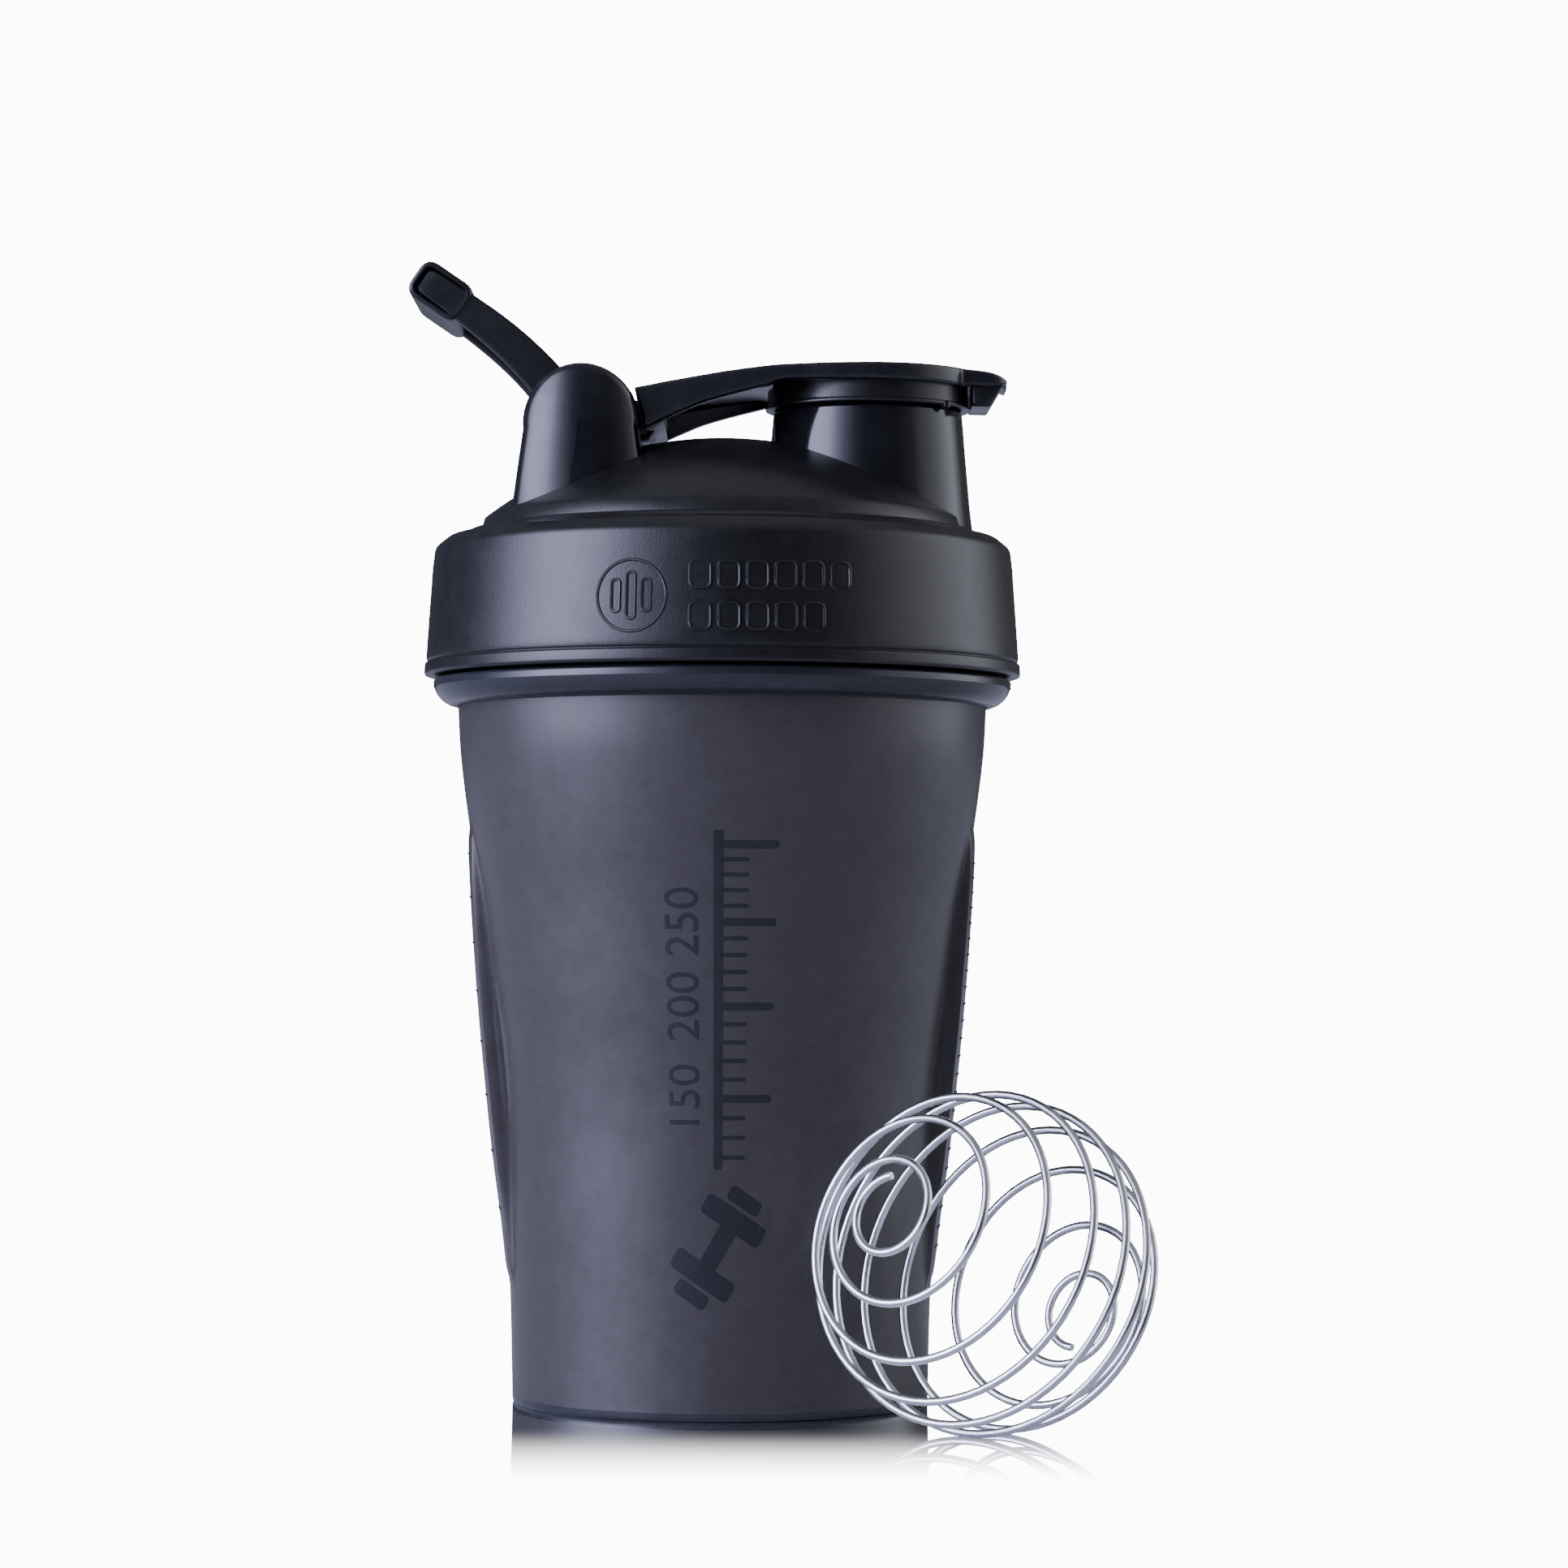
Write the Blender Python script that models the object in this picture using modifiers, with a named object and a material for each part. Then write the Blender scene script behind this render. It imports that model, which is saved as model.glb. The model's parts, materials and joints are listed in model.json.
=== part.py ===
"""Protein shaker bottle: cup, screw lid with a flip cap and a carry loop, and a loose wire mixing ball.

Sizes below are in millimetres and become metres when a mesh is made. The origin is the centre of the cup's
base, +Z is up and +X runs from the hinge towers to the drinking spout.
"""
import math

import bmesh
import bpy
import numpy as np
from mathutils import Matrix, Vector

MM = 0.001
STEPS = 48                      # facets round the cup and the lid
ROUND_STEPS = 24                # facets round a bore or a pin
MERGE = 0.000001

# Cup
WALL = 1.8
CUP_SIDE = [(33.1, 4.0), (33.6, 20.7), (34.2, 35.9), (35.2, 51.0), (36.9, 65.7), (38.3, 78.8),
            (40.3, 91.0), (41.6, 102.0), (42.0, 110.5)]
PANEL_SIDE = [(33.5, 19.0), (36.4, 39.4), (38.1, 54.9), (39.5, 73.0), (40.3, 91.0)]
PANEL_HALF_WIDTH = 8.5
FLOOR_Z = 2.6
FOOT_GROOVE = (20.0, 26.0, 0.8)  # inner radius, outer radius, depth
COLLAR_RADIUS = 45.9
COLLAR_TOP = 114.6
NECK_RADIUS = 41.2
RIM_Z = 133.6

# Screw thread: two starts, right-handed
LEAD = 12.0
THREAD_ROOT_HALF = 1.6
THREAD_CREST_HALF = 0.6
CUP_THREAD_CREST = 43.0
CUP_THREAD_START = 118.5
LID_THREAD_CREST = 42.0
LID_THREAD_START = 118.0
SECTIONS_PER_TURN = 32

# Lid
SKIRT_BOTTOM = 115.0
SKIRT_RADIUS = 47.4
SKIRT_TOP = (46.0, 133.2)
LID_BORE = 44.0
ROOF_Z = 135.8
DOME_RADIUS = 62.0
DOME_TOP = 152.9
DOME_EDGE = 37.7
DOME_WALL = 2.0
SEAL_WALL = (36.6, 38.2, 128.8)  # inner radius, outer radius, lower end
SPOUT_X = 23.0
SPOUT_BASE_RADIUS = 16.7
SPOUT_NECK_RADIUS = 15.0
SPOUT_LIP_RADIUS = 14.2
SPOUT_BORE = 12.6
SPOUT_TOP = 159.4

# Hinge
PIVOT = (-22.0, 153.8)           # X and Z of the axis, which runs along Y
TOWER_RADIUS = 9.1
TOWER_FACES = (11.8, 23.5)
TOWER_ROUND_CENTRE = (-21.6, 8.4)   # X and |Y| of the upright axis that each outer face curves round
TOWER_ROUND = [(14.5, 136.0), (14.5, 145.0), (14.1, 149.5), (13.4, 154.0), (12.5, 158.0), (11.7, 161.0),
               (10.7, 164.0)]    # radius round that axis, height
TOWER_FLARE = 7.0                # degrees that each side leans out towards the dome
PIN_RADIUS = 2.4
PIN_END = 15.0
PIN_BORE = 2.8
HUB_RADIUS = 4.2

# Flip cap
CAP_HALF_WIDTH = 17.0
CAP_TOP_LINE = [(-13.8, 159.45), (-4.8, 161.1), (1.5, 162.2), (7.8, 163.0), (15.0, 163.4), (23.0, 163.6),
                (33.0, 163.6), (40.0, 163.4), (42.5, 163.0), (44.2, 162.3), (44.9, 161.5)]
CAP_LOWER_LINE = [(44.4, 160.4), (42.2, 157.7), (39.8, 157.7), (39.2, 160.7), (11.0, 160.7), (4.8, 159.1),
                  (-3.5, 156.8), (-12.0, 153.0)]
CAP_END_RADIUS = 10.0            # the arm's end curves round the towers at this distance from the axis
TONGUE_HALF_WIDTH = 8.1
DRUM_RADIUS = 16.0
DRUM_INNER_RADIUS = 14.7
DRUM_BOTTOM = 157.4
HEAD_UNDERSIDE = 160.7
TAB_HALF_WIDTH = 8.0
PLUG_RADIUS = 10.6
PLUG_LIP_RADIUS = 11.5
PLUG_BOTTOM = 155.2

# Carry loop, in the plane of its arms: distance from the axis along the arm
LOOP_ANGLE = 136.4               # degrees from +X towards +Z
LOOP_HALF_WIDTH = 11.4
LOOP_ARM_INSIDE = 8.5
LOOP_LENGTH = 35.5
LOOP_BAR_START = 26.1
LOOP_BAR_HALF = 3.3
LOOP_ARM_HALF = (3.2, 2.6)       # near the hub, near the crossbar
LOOP_BOW = 1.6                   # the arms bow up by this much half way along
LOOP_BOW_LENGTH = 30.5

# Mixing ball
BALL_CENTRE = (39.5, -48.8, 25.5)
BALL_RADIUS = 25.85
WIRE_RADIUS = 0.625
BALL_AXIS = (-0.615, -0.711, 0.341)
BALL_TURNS = 9.5
BALL_FIRST_TURN = 5.7            # degrees from straight up, seen along the axis, where the wire starts
TURN_SPACING = 15.8              # degrees of the sphere from one turn to the next at its middle
POINTS_PER_TURN = 20


def clear_scene():
    """Take away whatever the new file came with."""
    for obj in list(bpy.data.objects):
        bpy.data.objects.remove(obj, do_unlink=True)


def make_collection(name):
    """A collection of the scene."""
    collection = bpy.data.collections.new(name)
    bpy.context.scene.collection.children.link(collection)
    return collection


def make_material(name, colour, roughness, metallic=0.0, alpha=1.0):
    """A Principled material."""
    material = bpy.data.materials.new(name)
    material.use_nodes = True
    shader = material.node_tree.nodes["Principled BSDF"]
    shader.inputs["Base Color"].default_value = (*colour, 1.0)
    shader.inputs["Roughness"].default_value = roughness
    shader.inputs["Metallic"].default_value = metallic
    shader.inputs["Alpha"].default_value = alpha
    material.diffuse_color = (*colour, alpha)
    return material


def place(name, bm, collection):
    """Make an object of a bmesh whose vertices are in millimetres."""
    bmesh.ops.scale(bm, vec=(MM, MM, MM), verts=bm.verts)
    mesh = bpy.data.meshes.new(name)
    bm.to_mesh(mesh)
    bm.free()
    obj = bpy.data.objects.new(name, mesh)
    collection.objects.link(obj)
    return obj


def bake(obj):
    """Turn an object's modifiers into mesh."""
    graph = bpy.context.evaluated_depsgraph_get()
    mesh = bpy.data.meshes.new_from_object(obj.evaluated_get(graph))
    obj.modifiers.clear()
    obj.data = mesh
    return obj


def join(target, tool, operation="UNION"):
    """Add a tool's shape to an object, or cut the object with it, and take the tool away."""
    boolean = target.modifiers.new(tool.name, "BOOLEAN")
    boolean.operation = operation
    boolean.solver = "EXACT"
    boolean.object = tool
    bake(target)
    bpy.data.objects.remove(tool, do_unlink=True)
    bm = bmesh.new()
    bm.from_mesh(target.data)
    bmesh.ops.triangulate(bm, faces=bm.faces)
    bmesh.ops.remove_doubles(bm, verts=bm.verts, dist=MERGE)
    bm.to_mesh(target.data)
    bm.free()


def arc(centre, radius, start, end, count):
    """Points of an arc, angles in degrees, both ends included."""
    angles = np.radians(np.linspace(start, end, count + 1))
    return [(centre[0] + radius * math.cos(a), centre[1] + radius * math.sin(a)) for a in angles]


def turned(name, outline, collection, steps=STEPS, closed=False):
    """Turn an outline of (radius, height) points about Z with a Screw modifier."""
    bm = bmesh.new()
    verts = [bm.verts.new((radius, 0.0, height)) for radius, height in outline]
    for first, second in zip(verts, verts[1:]):
        bm.edges.new((first, second))
    if closed:
        bm.edges.new((verts[-1], verts[0]))
    obj = place(name, bm, collection)
    screw = obj.modifiers.new("Turn", "SCREW")
    screw.steps = steps
    screw.render_steps = steps
    screw.use_merge_vertices = True
    screw.merge_threshold = MERGE
    return bake(obj)


def prism(name, outline, near, far, collection, bevel=0.0):
    """An outline of (X, Z) points that reaches from one Y to another, with its end edges rounded."""
    bm = bmesh.new()
    face = bm.faces.new([bm.verts.new((x, near, z)) for x, z in outline])
    extruded = bmesh.ops.extrude_face_region(bm, geom=[face])
    moved = [item for item in extruded["geom"] if isinstance(item, bmesh.types.BMVert)]
    bmesh.ops.translate(bm, vec=(0.0, far - near, 0.0), verts=moved)
    bmesh.ops.recalc_face_normals(bm, faces=bm.faces)
    obj = place(name, bm, collection)
    if bevel:
        modifier = obj.modifiers.new("Rounded edges", "BEVEL")
        modifier.width = bevel * MM
        modifier.segments = 2
        modifier.limit_method = "ANGLE"
        modifier.angle_limit = math.radians(50.0)
    return bake(obj)


def pin(name, radius, near, far, collection):
    """A cylinder on the hinge axis."""
    return prism(name, arc(PIVOT, radius, 0.0, 360.0 * (1.0 - 1.0 / ROUND_STEPS), ROUND_STEPS - 1),
                 near, far, collection)


def block(name, low, high, collection):
    """A box between two corners."""
    bm = bmesh.new()
    bmesh.ops.create_cube(bm, size=1.0)
    bmesh.ops.scale(bm, vec=[b - a for a, b in zip(low, high)], verts=bm.verts)
    bmesh.ops.translate(bm, vec=[(a + b) / 2.0 for a, b in zip(low, high)], verts=bm.verts)
    return place(name, bm, collection)


def thread(name, root, crest, start, turns, first_angle, collection):
    """One ridge of a screw thread, a trapezium swept up a helix that fades in and out at its ends."""
    count = int(SECTIONS_PER_TURN * turns)
    bm = bmesh.new()
    rings = []
    for index in range(count + 1):
        fade = min(1.0, 0.15 + min(index, count - index) / 5.0)
        angle = first_angle + 2.0 * math.pi * turns * index / count
        height = start + LEAD * turns * index / count
        top = root + (crest - root) * fade
        section = [(root, -THREAD_ROOT_HALF), (top, -THREAD_CREST_HALF),
                   (top, THREAD_CREST_HALF), (root, THREAD_ROOT_HALF)]
        rings.append([bm.verts.new((radius * math.cos(angle), radius * math.sin(angle), height + rise))
                      for radius, rise in section])
    for lower, upper in zip(rings, rings[1:]):
        for side in range(4):
            other = (side + 1) % 4
            bm.faces.new((lower[side], lower[other], upper[other], upper[side]))
    bm.faces.new(rings[0])
    bm.faces.new(rings[-1])
    bmesh.ops.recalc_face_normals(bm, faces=bm.faces)
    return place(name, bm, collection)


def side_radius(height, line):
    """Radius of a wall at a height."""
    return float(np.interp(height, [z for _, z in line], [r for r, _ in line]))


def panel_rise(x, y, z):
    """How far a point of the cup's wall is pushed out to make the two grip panels."""
    line = PANEL_SIDE
    if not line[0][1] < z < line[-1][1] or abs(y) > PANEL_HALF_WIDTH:
        return 0.0
    return max(0.0, side_radius(z, line) - side_radius(z, CUP_SIDE))


def make_cup(collection, tools):
    """Cup with its foot, collar, threaded neck and grip panels."""
    inner_groove, outer_groove, groove_depth = FOOT_GROOVE
    heights = [CUP_SIDE[0][1]] + [z for _, z in PANEL_SIDE] + [z for _, z in CUP_SIDE[1:]]
    heights = sorted(set(heights))
    outside = [(side_radius(z, CUP_SIDE), z) for z in heights]
    inside = [(radius - WALL, z) for radius, z in outside]
    outline = [(0.0, FLOOR_Z), (29.5, FLOOR_Z), *inside]
    outline += [(NECK_RADIUS - WALL, COLLAR_TOP), (NECK_RADIUS - WALL, RIM_Z - 0.4), (40.0, RIM_Z)]
    outline += [(NECK_RADIUS - 0.4, RIM_Z), (NECK_RADIUS, RIM_Z - 0.4), (NECK_RADIUS, COLLAR_TOP)]
    outline += arc((42.0, COLLAR_TOP - 0.2), COLLAR_RADIUS - 42.0, 3.0, -90.0, 5)
    outline += list(reversed(outside))[1:]
    outline += arc((31.7, 1.3), 1.3, 0.0, -90.0, 3)
    outline += [(outer_groove, 0.0), (outer_groove - 0.6, groove_depth), (inner_groove + 0.6, groove_depth)]
    outline += [(inner_groove, 0.0), (0.0, 0.0)]
    cup = turned("cup", outline, collection)
    for vertex in cup.data.vertices:
        x, y, z = (value / MM for value in vertex.co)
        radius = math.hypot(x, y)
        if radius > side_radius(z, CUP_SIDE) - 0.2:
            scale = 1.0 + panel_rise(x, y, z) / radius
            vertex.co = Vector((x * scale, y * scale, z)) * MM
    for start in range(2):
        ridge = thread(f"cup_thread_{start}", NECK_RADIUS - 0.3, CUP_THREAD_CREST, CUP_THREAD_START, 0.9,
                       math.pi * start, tools)
        join(cup, ridge)
    return cup


def dome_arc(radius, edge):
    """The dome's outline from its top to a radius."""
    centre = (0.0, DOME_TOP - DOME_RADIUS)
    end = math.degrees(math.acos(edge / radius))
    points = arc(centre, radius, 90.0, end, 9)
    return [(0.0, points[0][1]), *points[1:]]


def make_lid(collection, tools):
    """Screw lid: skirt, dome, spout, hinge towers, sealing wall and thread."""
    outline = dome_arc(DOME_RADIUS, DOME_EDGE)
    outline += [(38.2, 138.2), (40.4, 137.9), (43.0, 137.1), (44.6, 136.0), (45.6, 134.8), SKIRT_TOP]
    outline += [(SKIRT_RADIUS - 0.3, SKIRT_BOTTOM + 2.5), (SKIRT_RADIUS - 0.5, SKIRT_BOTTOM + 2.2)]
    outline += [(SKIRT_RADIUS, SKIRT_BOTTOM + 1.8), (SKIRT_RADIUS, SKIRT_BOTTOM + 0.4)]
    outline += [(SKIRT_RADIUS - 0.4, SKIRT_BOTTOM), (0.0, SKIRT_BOTTOM)]
    lid = turned("lid", outline, collection)

    spout = turned("spout_solid", [(0.0, SPOUT_TOP), (SPOUT_LIP_RADIUS - 0.5, SPOUT_TOP),
                                   (SPOUT_LIP_RADIUS, SPOUT_TOP - 0.5), (SPOUT_LIP_RADIUS, 157.6),
                                   (SPOUT_NECK_RADIUS, 156.8), (SPOUT_BASE_RADIUS, 137.4), (0.0, 137.4)],
                   tools, 36)
    spout.location.x = SPOUT_X * MM
    join(lid, spout)

    flare = math.radians(TOWER_FLARE)
    drop = PIVOT[1] - 138.4
    half_base = TOWER_RADIUS / math.cos(flare) + drop * math.tan(flare)
    tower_outline = arc(PIVOT, TOWER_RADIUS, -TOWER_FLARE, 180.0 + TOWER_FLARE, 18)
    tower_outline += [(PIVOT[0] - half_base, PIVOT[1] - drop), (PIVOT[0] + half_base, PIVOT[1] - drop)]
    for side in (-1, 1):
        near, far = sorted(side * face for face in TOWER_FACES)
        tower = prism(f"tower_solid_{near:.0f}", tower_outline, near, far, tools)
        round_outline = [(0.0, TOWER_ROUND[0][1]), *TOWER_ROUND, (0.0, TOWER_ROUND[-1][1])]
        outer_face = turned("tower_round", round_outline, tools)
        outer_face.location = (TOWER_ROUND_CENTRE[0] * MM, side * TOWER_ROUND_CENTRE[1] * MM, 0.0)
        join(tower, outer_face, "INTERSECT")
        join(lid, tower)

    wall_in, wall_out, wall_end = SEAL_WALL
    cavity_outline = dome_arc(DOME_RADIUS - DOME_WALL, wall_in - 0.7)
    cavity_outline += [(wall_in, 137.6), (wall_in, wall_end + 0.3), (wall_in + 0.3, wall_end)]
    cavity_outline += [(wall_out - 0.3, wall_end), (wall_out, wall_end + 0.3), (wall_out, ROOF_Z)]
    cavity_outline += [(LID_BORE - 1.1, ROOF_Z), (LID_BORE, ROOF_Z - 1.3), (LID_BORE, SKIRT_BOTTOM - 1.0)]
    cavity_outline += [(0.0, SKIRT_BOTTOM - 1.0)]
    join(lid, turned("lid_cavity", cavity_outline, tools), "DIFFERENCE")

    bore = turned("spout_bore", [(0.0, SPOUT_TOP + 2.0), (SPOUT_BORE, SPOUT_TOP + 2.0), (SPOUT_BORE, 137.2),
                                 (0.0, 137.2)], tools, 36)
    bore.location.x = SPOUT_X * MM
    join(lid, bore, "DIFFERENCE")
    join(lid, pin("pivot_bore", PIN_BORE, -PIN_END - 0.5, PIN_END + 0.5, tools), "DIFFERENCE")

    for start in range(2):
        ridge = thread(f"lid_thread_{start}", LID_BORE + 0.3, LID_THREAD_CREST, LID_THREAD_START, 0.9,
                       math.pi * (start - 0.5) - 2.0 * math.pi * (CUP_THREAD_START - LID_THREAD_START) / LEAD,
                       tools)
        join(lid, ridge)
    return lid


def make_lid_seal(collection):
    """Soft ring between the cup's rim and the lid's roof."""
    low = RIM_Z + 0.3
    high = ROOF_Z - 0.3
    outline = [(41.5, high), (41.8, high - 0.3), (41.8, low + 0.3), (41.5, low), (39.0, low),
               (38.7, low + 0.3), (38.7, high - 0.3), (39.0, high)]
    return turned("lid_seal", outline, collection, closed=True)


def make_flip_cap(collection, tools):
    """Flip cap: arm, round head with its skirt and thumb tab, plug, tongue, hub and trunnions."""
    first = math.degrees(math.atan2(CAP_LOWER_LINE[-1][1] - PIVOT[1], CAP_LOWER_LINE[-1][0] - PIVOT[0]))
    last = math.degrees(math.atan2(CAP_TOP_LINE[0][1] - PIVOT[1], CAP_TOP_LINE[0][0] - PIVOT[0]))
    side = CAP_TOP_LINE + CAP_LOWER_LINE[:-1] + arc(PIVOT, CAP_END_RADIUS, first, last, 6)[:-1]
    cap = prism("flip_cap", side, -CAP_HALF_WIDTH, CAP_HALF_WIDTH, collection, 0.8)

    plan = [(-20.0, -CAP_HALF_WIDTH - 1.0), *arc((SPOUT_X, 0.0), CAP_HALF_WIDTH, -90.0, -30.0, 8)]
    plan += [(43.0, -TAB_HALF_WIDTH), (45.2, -TAB_HALF_WIDTH + 3.0)]
    plan += [(x, -y) for x, y in reversed(plan)]
    plan_solid = prism("cap_plan", plan, 150.0, 170.0, tools)
    plan_solid.data.transform(Matrix(((1, 0, 0, 0), (0, 0, 1, 0), (0, 1, 0, 0), (0, 0, 0, 1))))
    plan_solid.data.flip_normals()
    join(cap, plan_solid, "INTERSECT")

    drum = turned("drum_solid", [(DRUM_RADIUS, HEAD_UNDERSIDE + 0.6), (DRUM_RADIUS, DRUM_BOTTOM + 0.3),
                                 (DRUM_RADIUS - 0.3, DRUM_BOTTOM), (DRUM_INNER_RADIUS, DRUM_BOTTOM),
                                 (DRUM_INNER_RADIUS, HEAD_UNDERSIDE + 0.6)], tools, 36, closed=True)
    plug = turned("plug_solid", [(0.0, HEAD_UNDERSIDE + 0.6), (PLUG_RADIUS, HEAD_UNDERSIDE + 0.6),
                                 (PLUG_RADIUS, PLUG_BOTTOM + 1.1), (PLUG_LIP_RADIUS, PLUG_BOTTOM + 0.8),
                                 (PLUG_LIP_RADIUS, PLUG_BOTTOM + 0.4), (PLUG_LIP_RADIUS - 0.4, PLUG_BOTTOM),
                                 (0.0, PLUG_BOTTOM)], tools, 36)
    for solid in (drum, plug):
        solid.location.x = SPOUT_X * MM
        join(cap, solid)

    tongue = arc(PIVOT, HUB_RADIUS, 110.0, 290.0, 12)
    tongue += [(-12.0, 152.6), (-9.0, 155.0), (-9.0, 159.2), (-13.3, 158.6)]
    join(cap, prism("tongue_solid", tongue, -TONGUE_HALF_WIDTH, TONGUE_HALF_WIDTH, tools))
    join(cap, pin("trunnions", PIN_RADIUS, -PIN_END, PIN_END, tools))
    return cap


def make_spout_seal(collection):
    """Soft ring round the flip cap's plug, which closes the spout's bore."""
    low = PLUG_BOTTOM + 1.5
    high = HEAD_UNDERSIDE - 0.4
    outline = [(SPOUT_BORE - 0.4, high), (SPOUT_BORE - 0.6, low + 0.5), (SPOUT_BORE - 0.9, low),
               (PLUG_RADIUS + 0.3, low), (PLUG_RADIUS + 0.3, high)]
    seal = turned("spout_seal", outline, collection, 36, closed=True)
    seal.location.x = SPOUT_X * MM
    return seal


def bow(u, v):
    """Bend a point of the carry loop, u along the straight arm and v across it, to the arms' bow."""
    part = math.pi * min(u, LOOP_BOW_LENGTH) / LOOP_BOW_LENGTH
    slope = -LOOP_BOW * math.pi / LOOP_BOW_LENGTH * math.cos(part)
    middle = -LOOP_BOW * math.sin(part) + slope * max(0.0, u - LOOP_BOW_LENGTH)
    lean = math.atan(slope)
    return (u - v * math.sin(lean), middle + v * math.cos(lean))


def make_carry_loop(collection, tools):
    """Carry loop: two eyes on the trunnions, two arms and a crossbar."""
    near, far = LOOP_ARM_HALF
    edge = [(u, near + (far - near) * (u - 7.0) / (LOOP_BAR_START - 8.0))
            for u in np.linspace(7.0, LOOP_BAR_START - 1.0, 7)]
    along = [bow(u, -v) for u, v in edge] + [bow(LOOP_BAR_START, -LOOP_BAR_HALF)]
    along += [bow(*point) for point in arc((LOOP_LENGTH - 2.0, -LOOP_BAR_HALF + 2.0), 2.0, -90.0, 0.0, 4)]
    along += [bow(*point) for point in arc((LOOP_LENGTH - 2.0, LOOP_BAR_HALF - 2.0), 2.0, 0.0, 90.0, 4)]
    along += [bow(LOOP_BAR_START, LOOP_BAR_HALF)] + [bow(u, v) for u, v in reversed(edge)]
    along += arc((0.0, 0.0), HUB_RADIUS, 55.0, 305.0, 16)
    turn = math.radians(LOOP_ANGLE)
    outline = [(PIVOT[0] + u * math.cos(turn) - v * math.sin(turn),
                PIVOT[1] + u * math.sin(turn) + v * math.cos(turn)) for u, v in along]
    loop = prism("carry_loop", outline, -LOOP_HALF_WIDTH, LOOP_HALF_WIDTH, collection, 0.7)
    gap = block("loop_gap", (-12.0, -LOOP_ARM_INSIDE, -12.0), (LOOP_BAR_START, LOOP_ARM_INSIDE, 12.0), tools)
    gap.rotation_euler.y = -turn
    gap.location = (PIVOT[0] * MM, 0.0, PIVOT[1] * MM)
    join(loop, gap, "DIFFERENCE")
    join(loop, pin("loop_bore", PIN_BORE, -LOOP_HALF_WIDTH - 1.0, LOOP_HALF_WIDTH + 1.0, tools), "DIFFERENCE")
    return loop


def ball_polar_angle(turn):
    """Angle from the ball's near pole, for a turn counted from the middle of the wire."""
    part = turn / (BALL_TURNS / 2.0)
    return math.radians(90.0 + TURN_SPACING * turn * (1.0 + 0.46 * part ** 2 - 0.44 * part ** 6))


def make_whisk_ball(collection):
    """Mixing ball: one wire wound over a sphere from pole to pole."""
    axis = Vector(BALL_AXIS).normalized()
    upward = (Vector((0.0, 0.0, 1.0)) - axis * axis.z).normalized()
    leftward = axis.cross(upward)
    radius = BALL_RADIUS - WIRE_RADIUS
    count = int(BALL_TURNS * POINTS_PER_TURN)
    curve = bpy.data.curves.new("wire_line", "CURVE")
    curve.dimensions = "3D"
    curve.bevel_depth = WIRE_RADIUS * MM
    curve.bevel_resolution = 2
    curve.use_fill_caps = True
    spline = curve.splines.new("POLY")
    spline.points.add(count)
    for index, point in enumerate(spline.points):
        turn = index / POINTS_PER_TURN
        polar = ball_polar_angle(turn - BALL_TURNS / 2.0)
        wind = math.radians(BALL_FIRST_TURN) + 2.0 * math.pi * turn
        sideways = upward * math.cos(wind) + leftward * math.sin(wind)
        place_mm = Vector(BALL_CENTRE) + (axis * math.cos(polar) + sideways * math.sin(polar)) * radius
        point.co = (*(place_mm * MM), 1.0)
    wire = bpy.data.objects.new("wire_line", curve)
    collection.objects.link(wire)
    graph = bpy.context.evaluated_depsgraph_get()
    bm = bmesh.new()
    bm.from_mesh(bpy.data.meshes.new_from_object(wire.evaluated_get(graph)))
    bmesh.ops.remove_doubles(bm, verts=bm.verts, dist=MERGE)
    bpy.data.objects.remove(wire, do_unlink=True)
    bmesh.ops.scale(bm, vec=(1.0 / MM, 1.0 / MM, 1.0 / MM), verts=bm.verts)
    return place("whisk_ball", bm, collection)


def set_origin(obj, point):
    """Move an object's origin to a point, with its shape left in place."""
    offset = Vector(point) * MM
    bake(obj)
    obj.data.transform(obj.matrix_basis)
    obj.matrix_basis = Matrix.Identity(4)
    obj.data.transform(Matrix.Translation(-offset))
    obj.location = offset


def main():
    """Build the bottle."""
    clear_scene()
    collection = make_collection("protein_shaker_bottle")
    tools = make_collection("cutters")
    cup_plastic = make_material("smoky_plastic", (0.13, 0.14, 0.17), 0.3, 0.0, 0.75)
    black_plastic = make_material("black_plastic", (0.02, 0.02, 0.024), 0.4)
    soft_grey = make_material("soft_grey", (0.12, 0.12, 0.13), 0.6)
    steel = make_material("steel_wire", (0.75, 0.75, 0.77), 0.15, 1.0)

    pivot = (PIVOT[0], 0.0, PIVOT[1])
    pieces = [
        (make_cup(collection, tools), cup_plastic, (0.0, 0.0, 0.0)),
        (make_lid(collection, tools), black_plastic, (0.0, 0.0, SKIRT_BOTTOM)),
        (make_lid_seal(collection), soft_grey, (0.0, 0.0, RIM_Z)),
        (make_flip_cap(collection, tools), black_plastic, pivot),
        (make_spout_seal(collection), soft_grey, (SPOUT_X, 0.0, HEAD_UNDERSIDE)),
        (make_carry_loop(collection, tools), black_plastic, pivot),
        (make_whisk_ball(collection), steel, BALL_CENTRE),
    ]
    for obj, material, origin in pieces:
        set_origin(obj, origin)
        obj.data.materials.clear()
        obj.data.materials.append(material)
        obj.data.shade_smooth()
        obj.data.set_sharp_from_angle(angle=math.radians(35.0))


main()
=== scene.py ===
"""Looks of the protein shaker bottle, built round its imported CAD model.

Shapes are written in millimetres in the frame of the CAD model and scaled to metres when a mesh is made.
"""
import json
import math

import bmesh
import bpy
import numpy as np
from mathutils import Matrix, Vector


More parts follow.
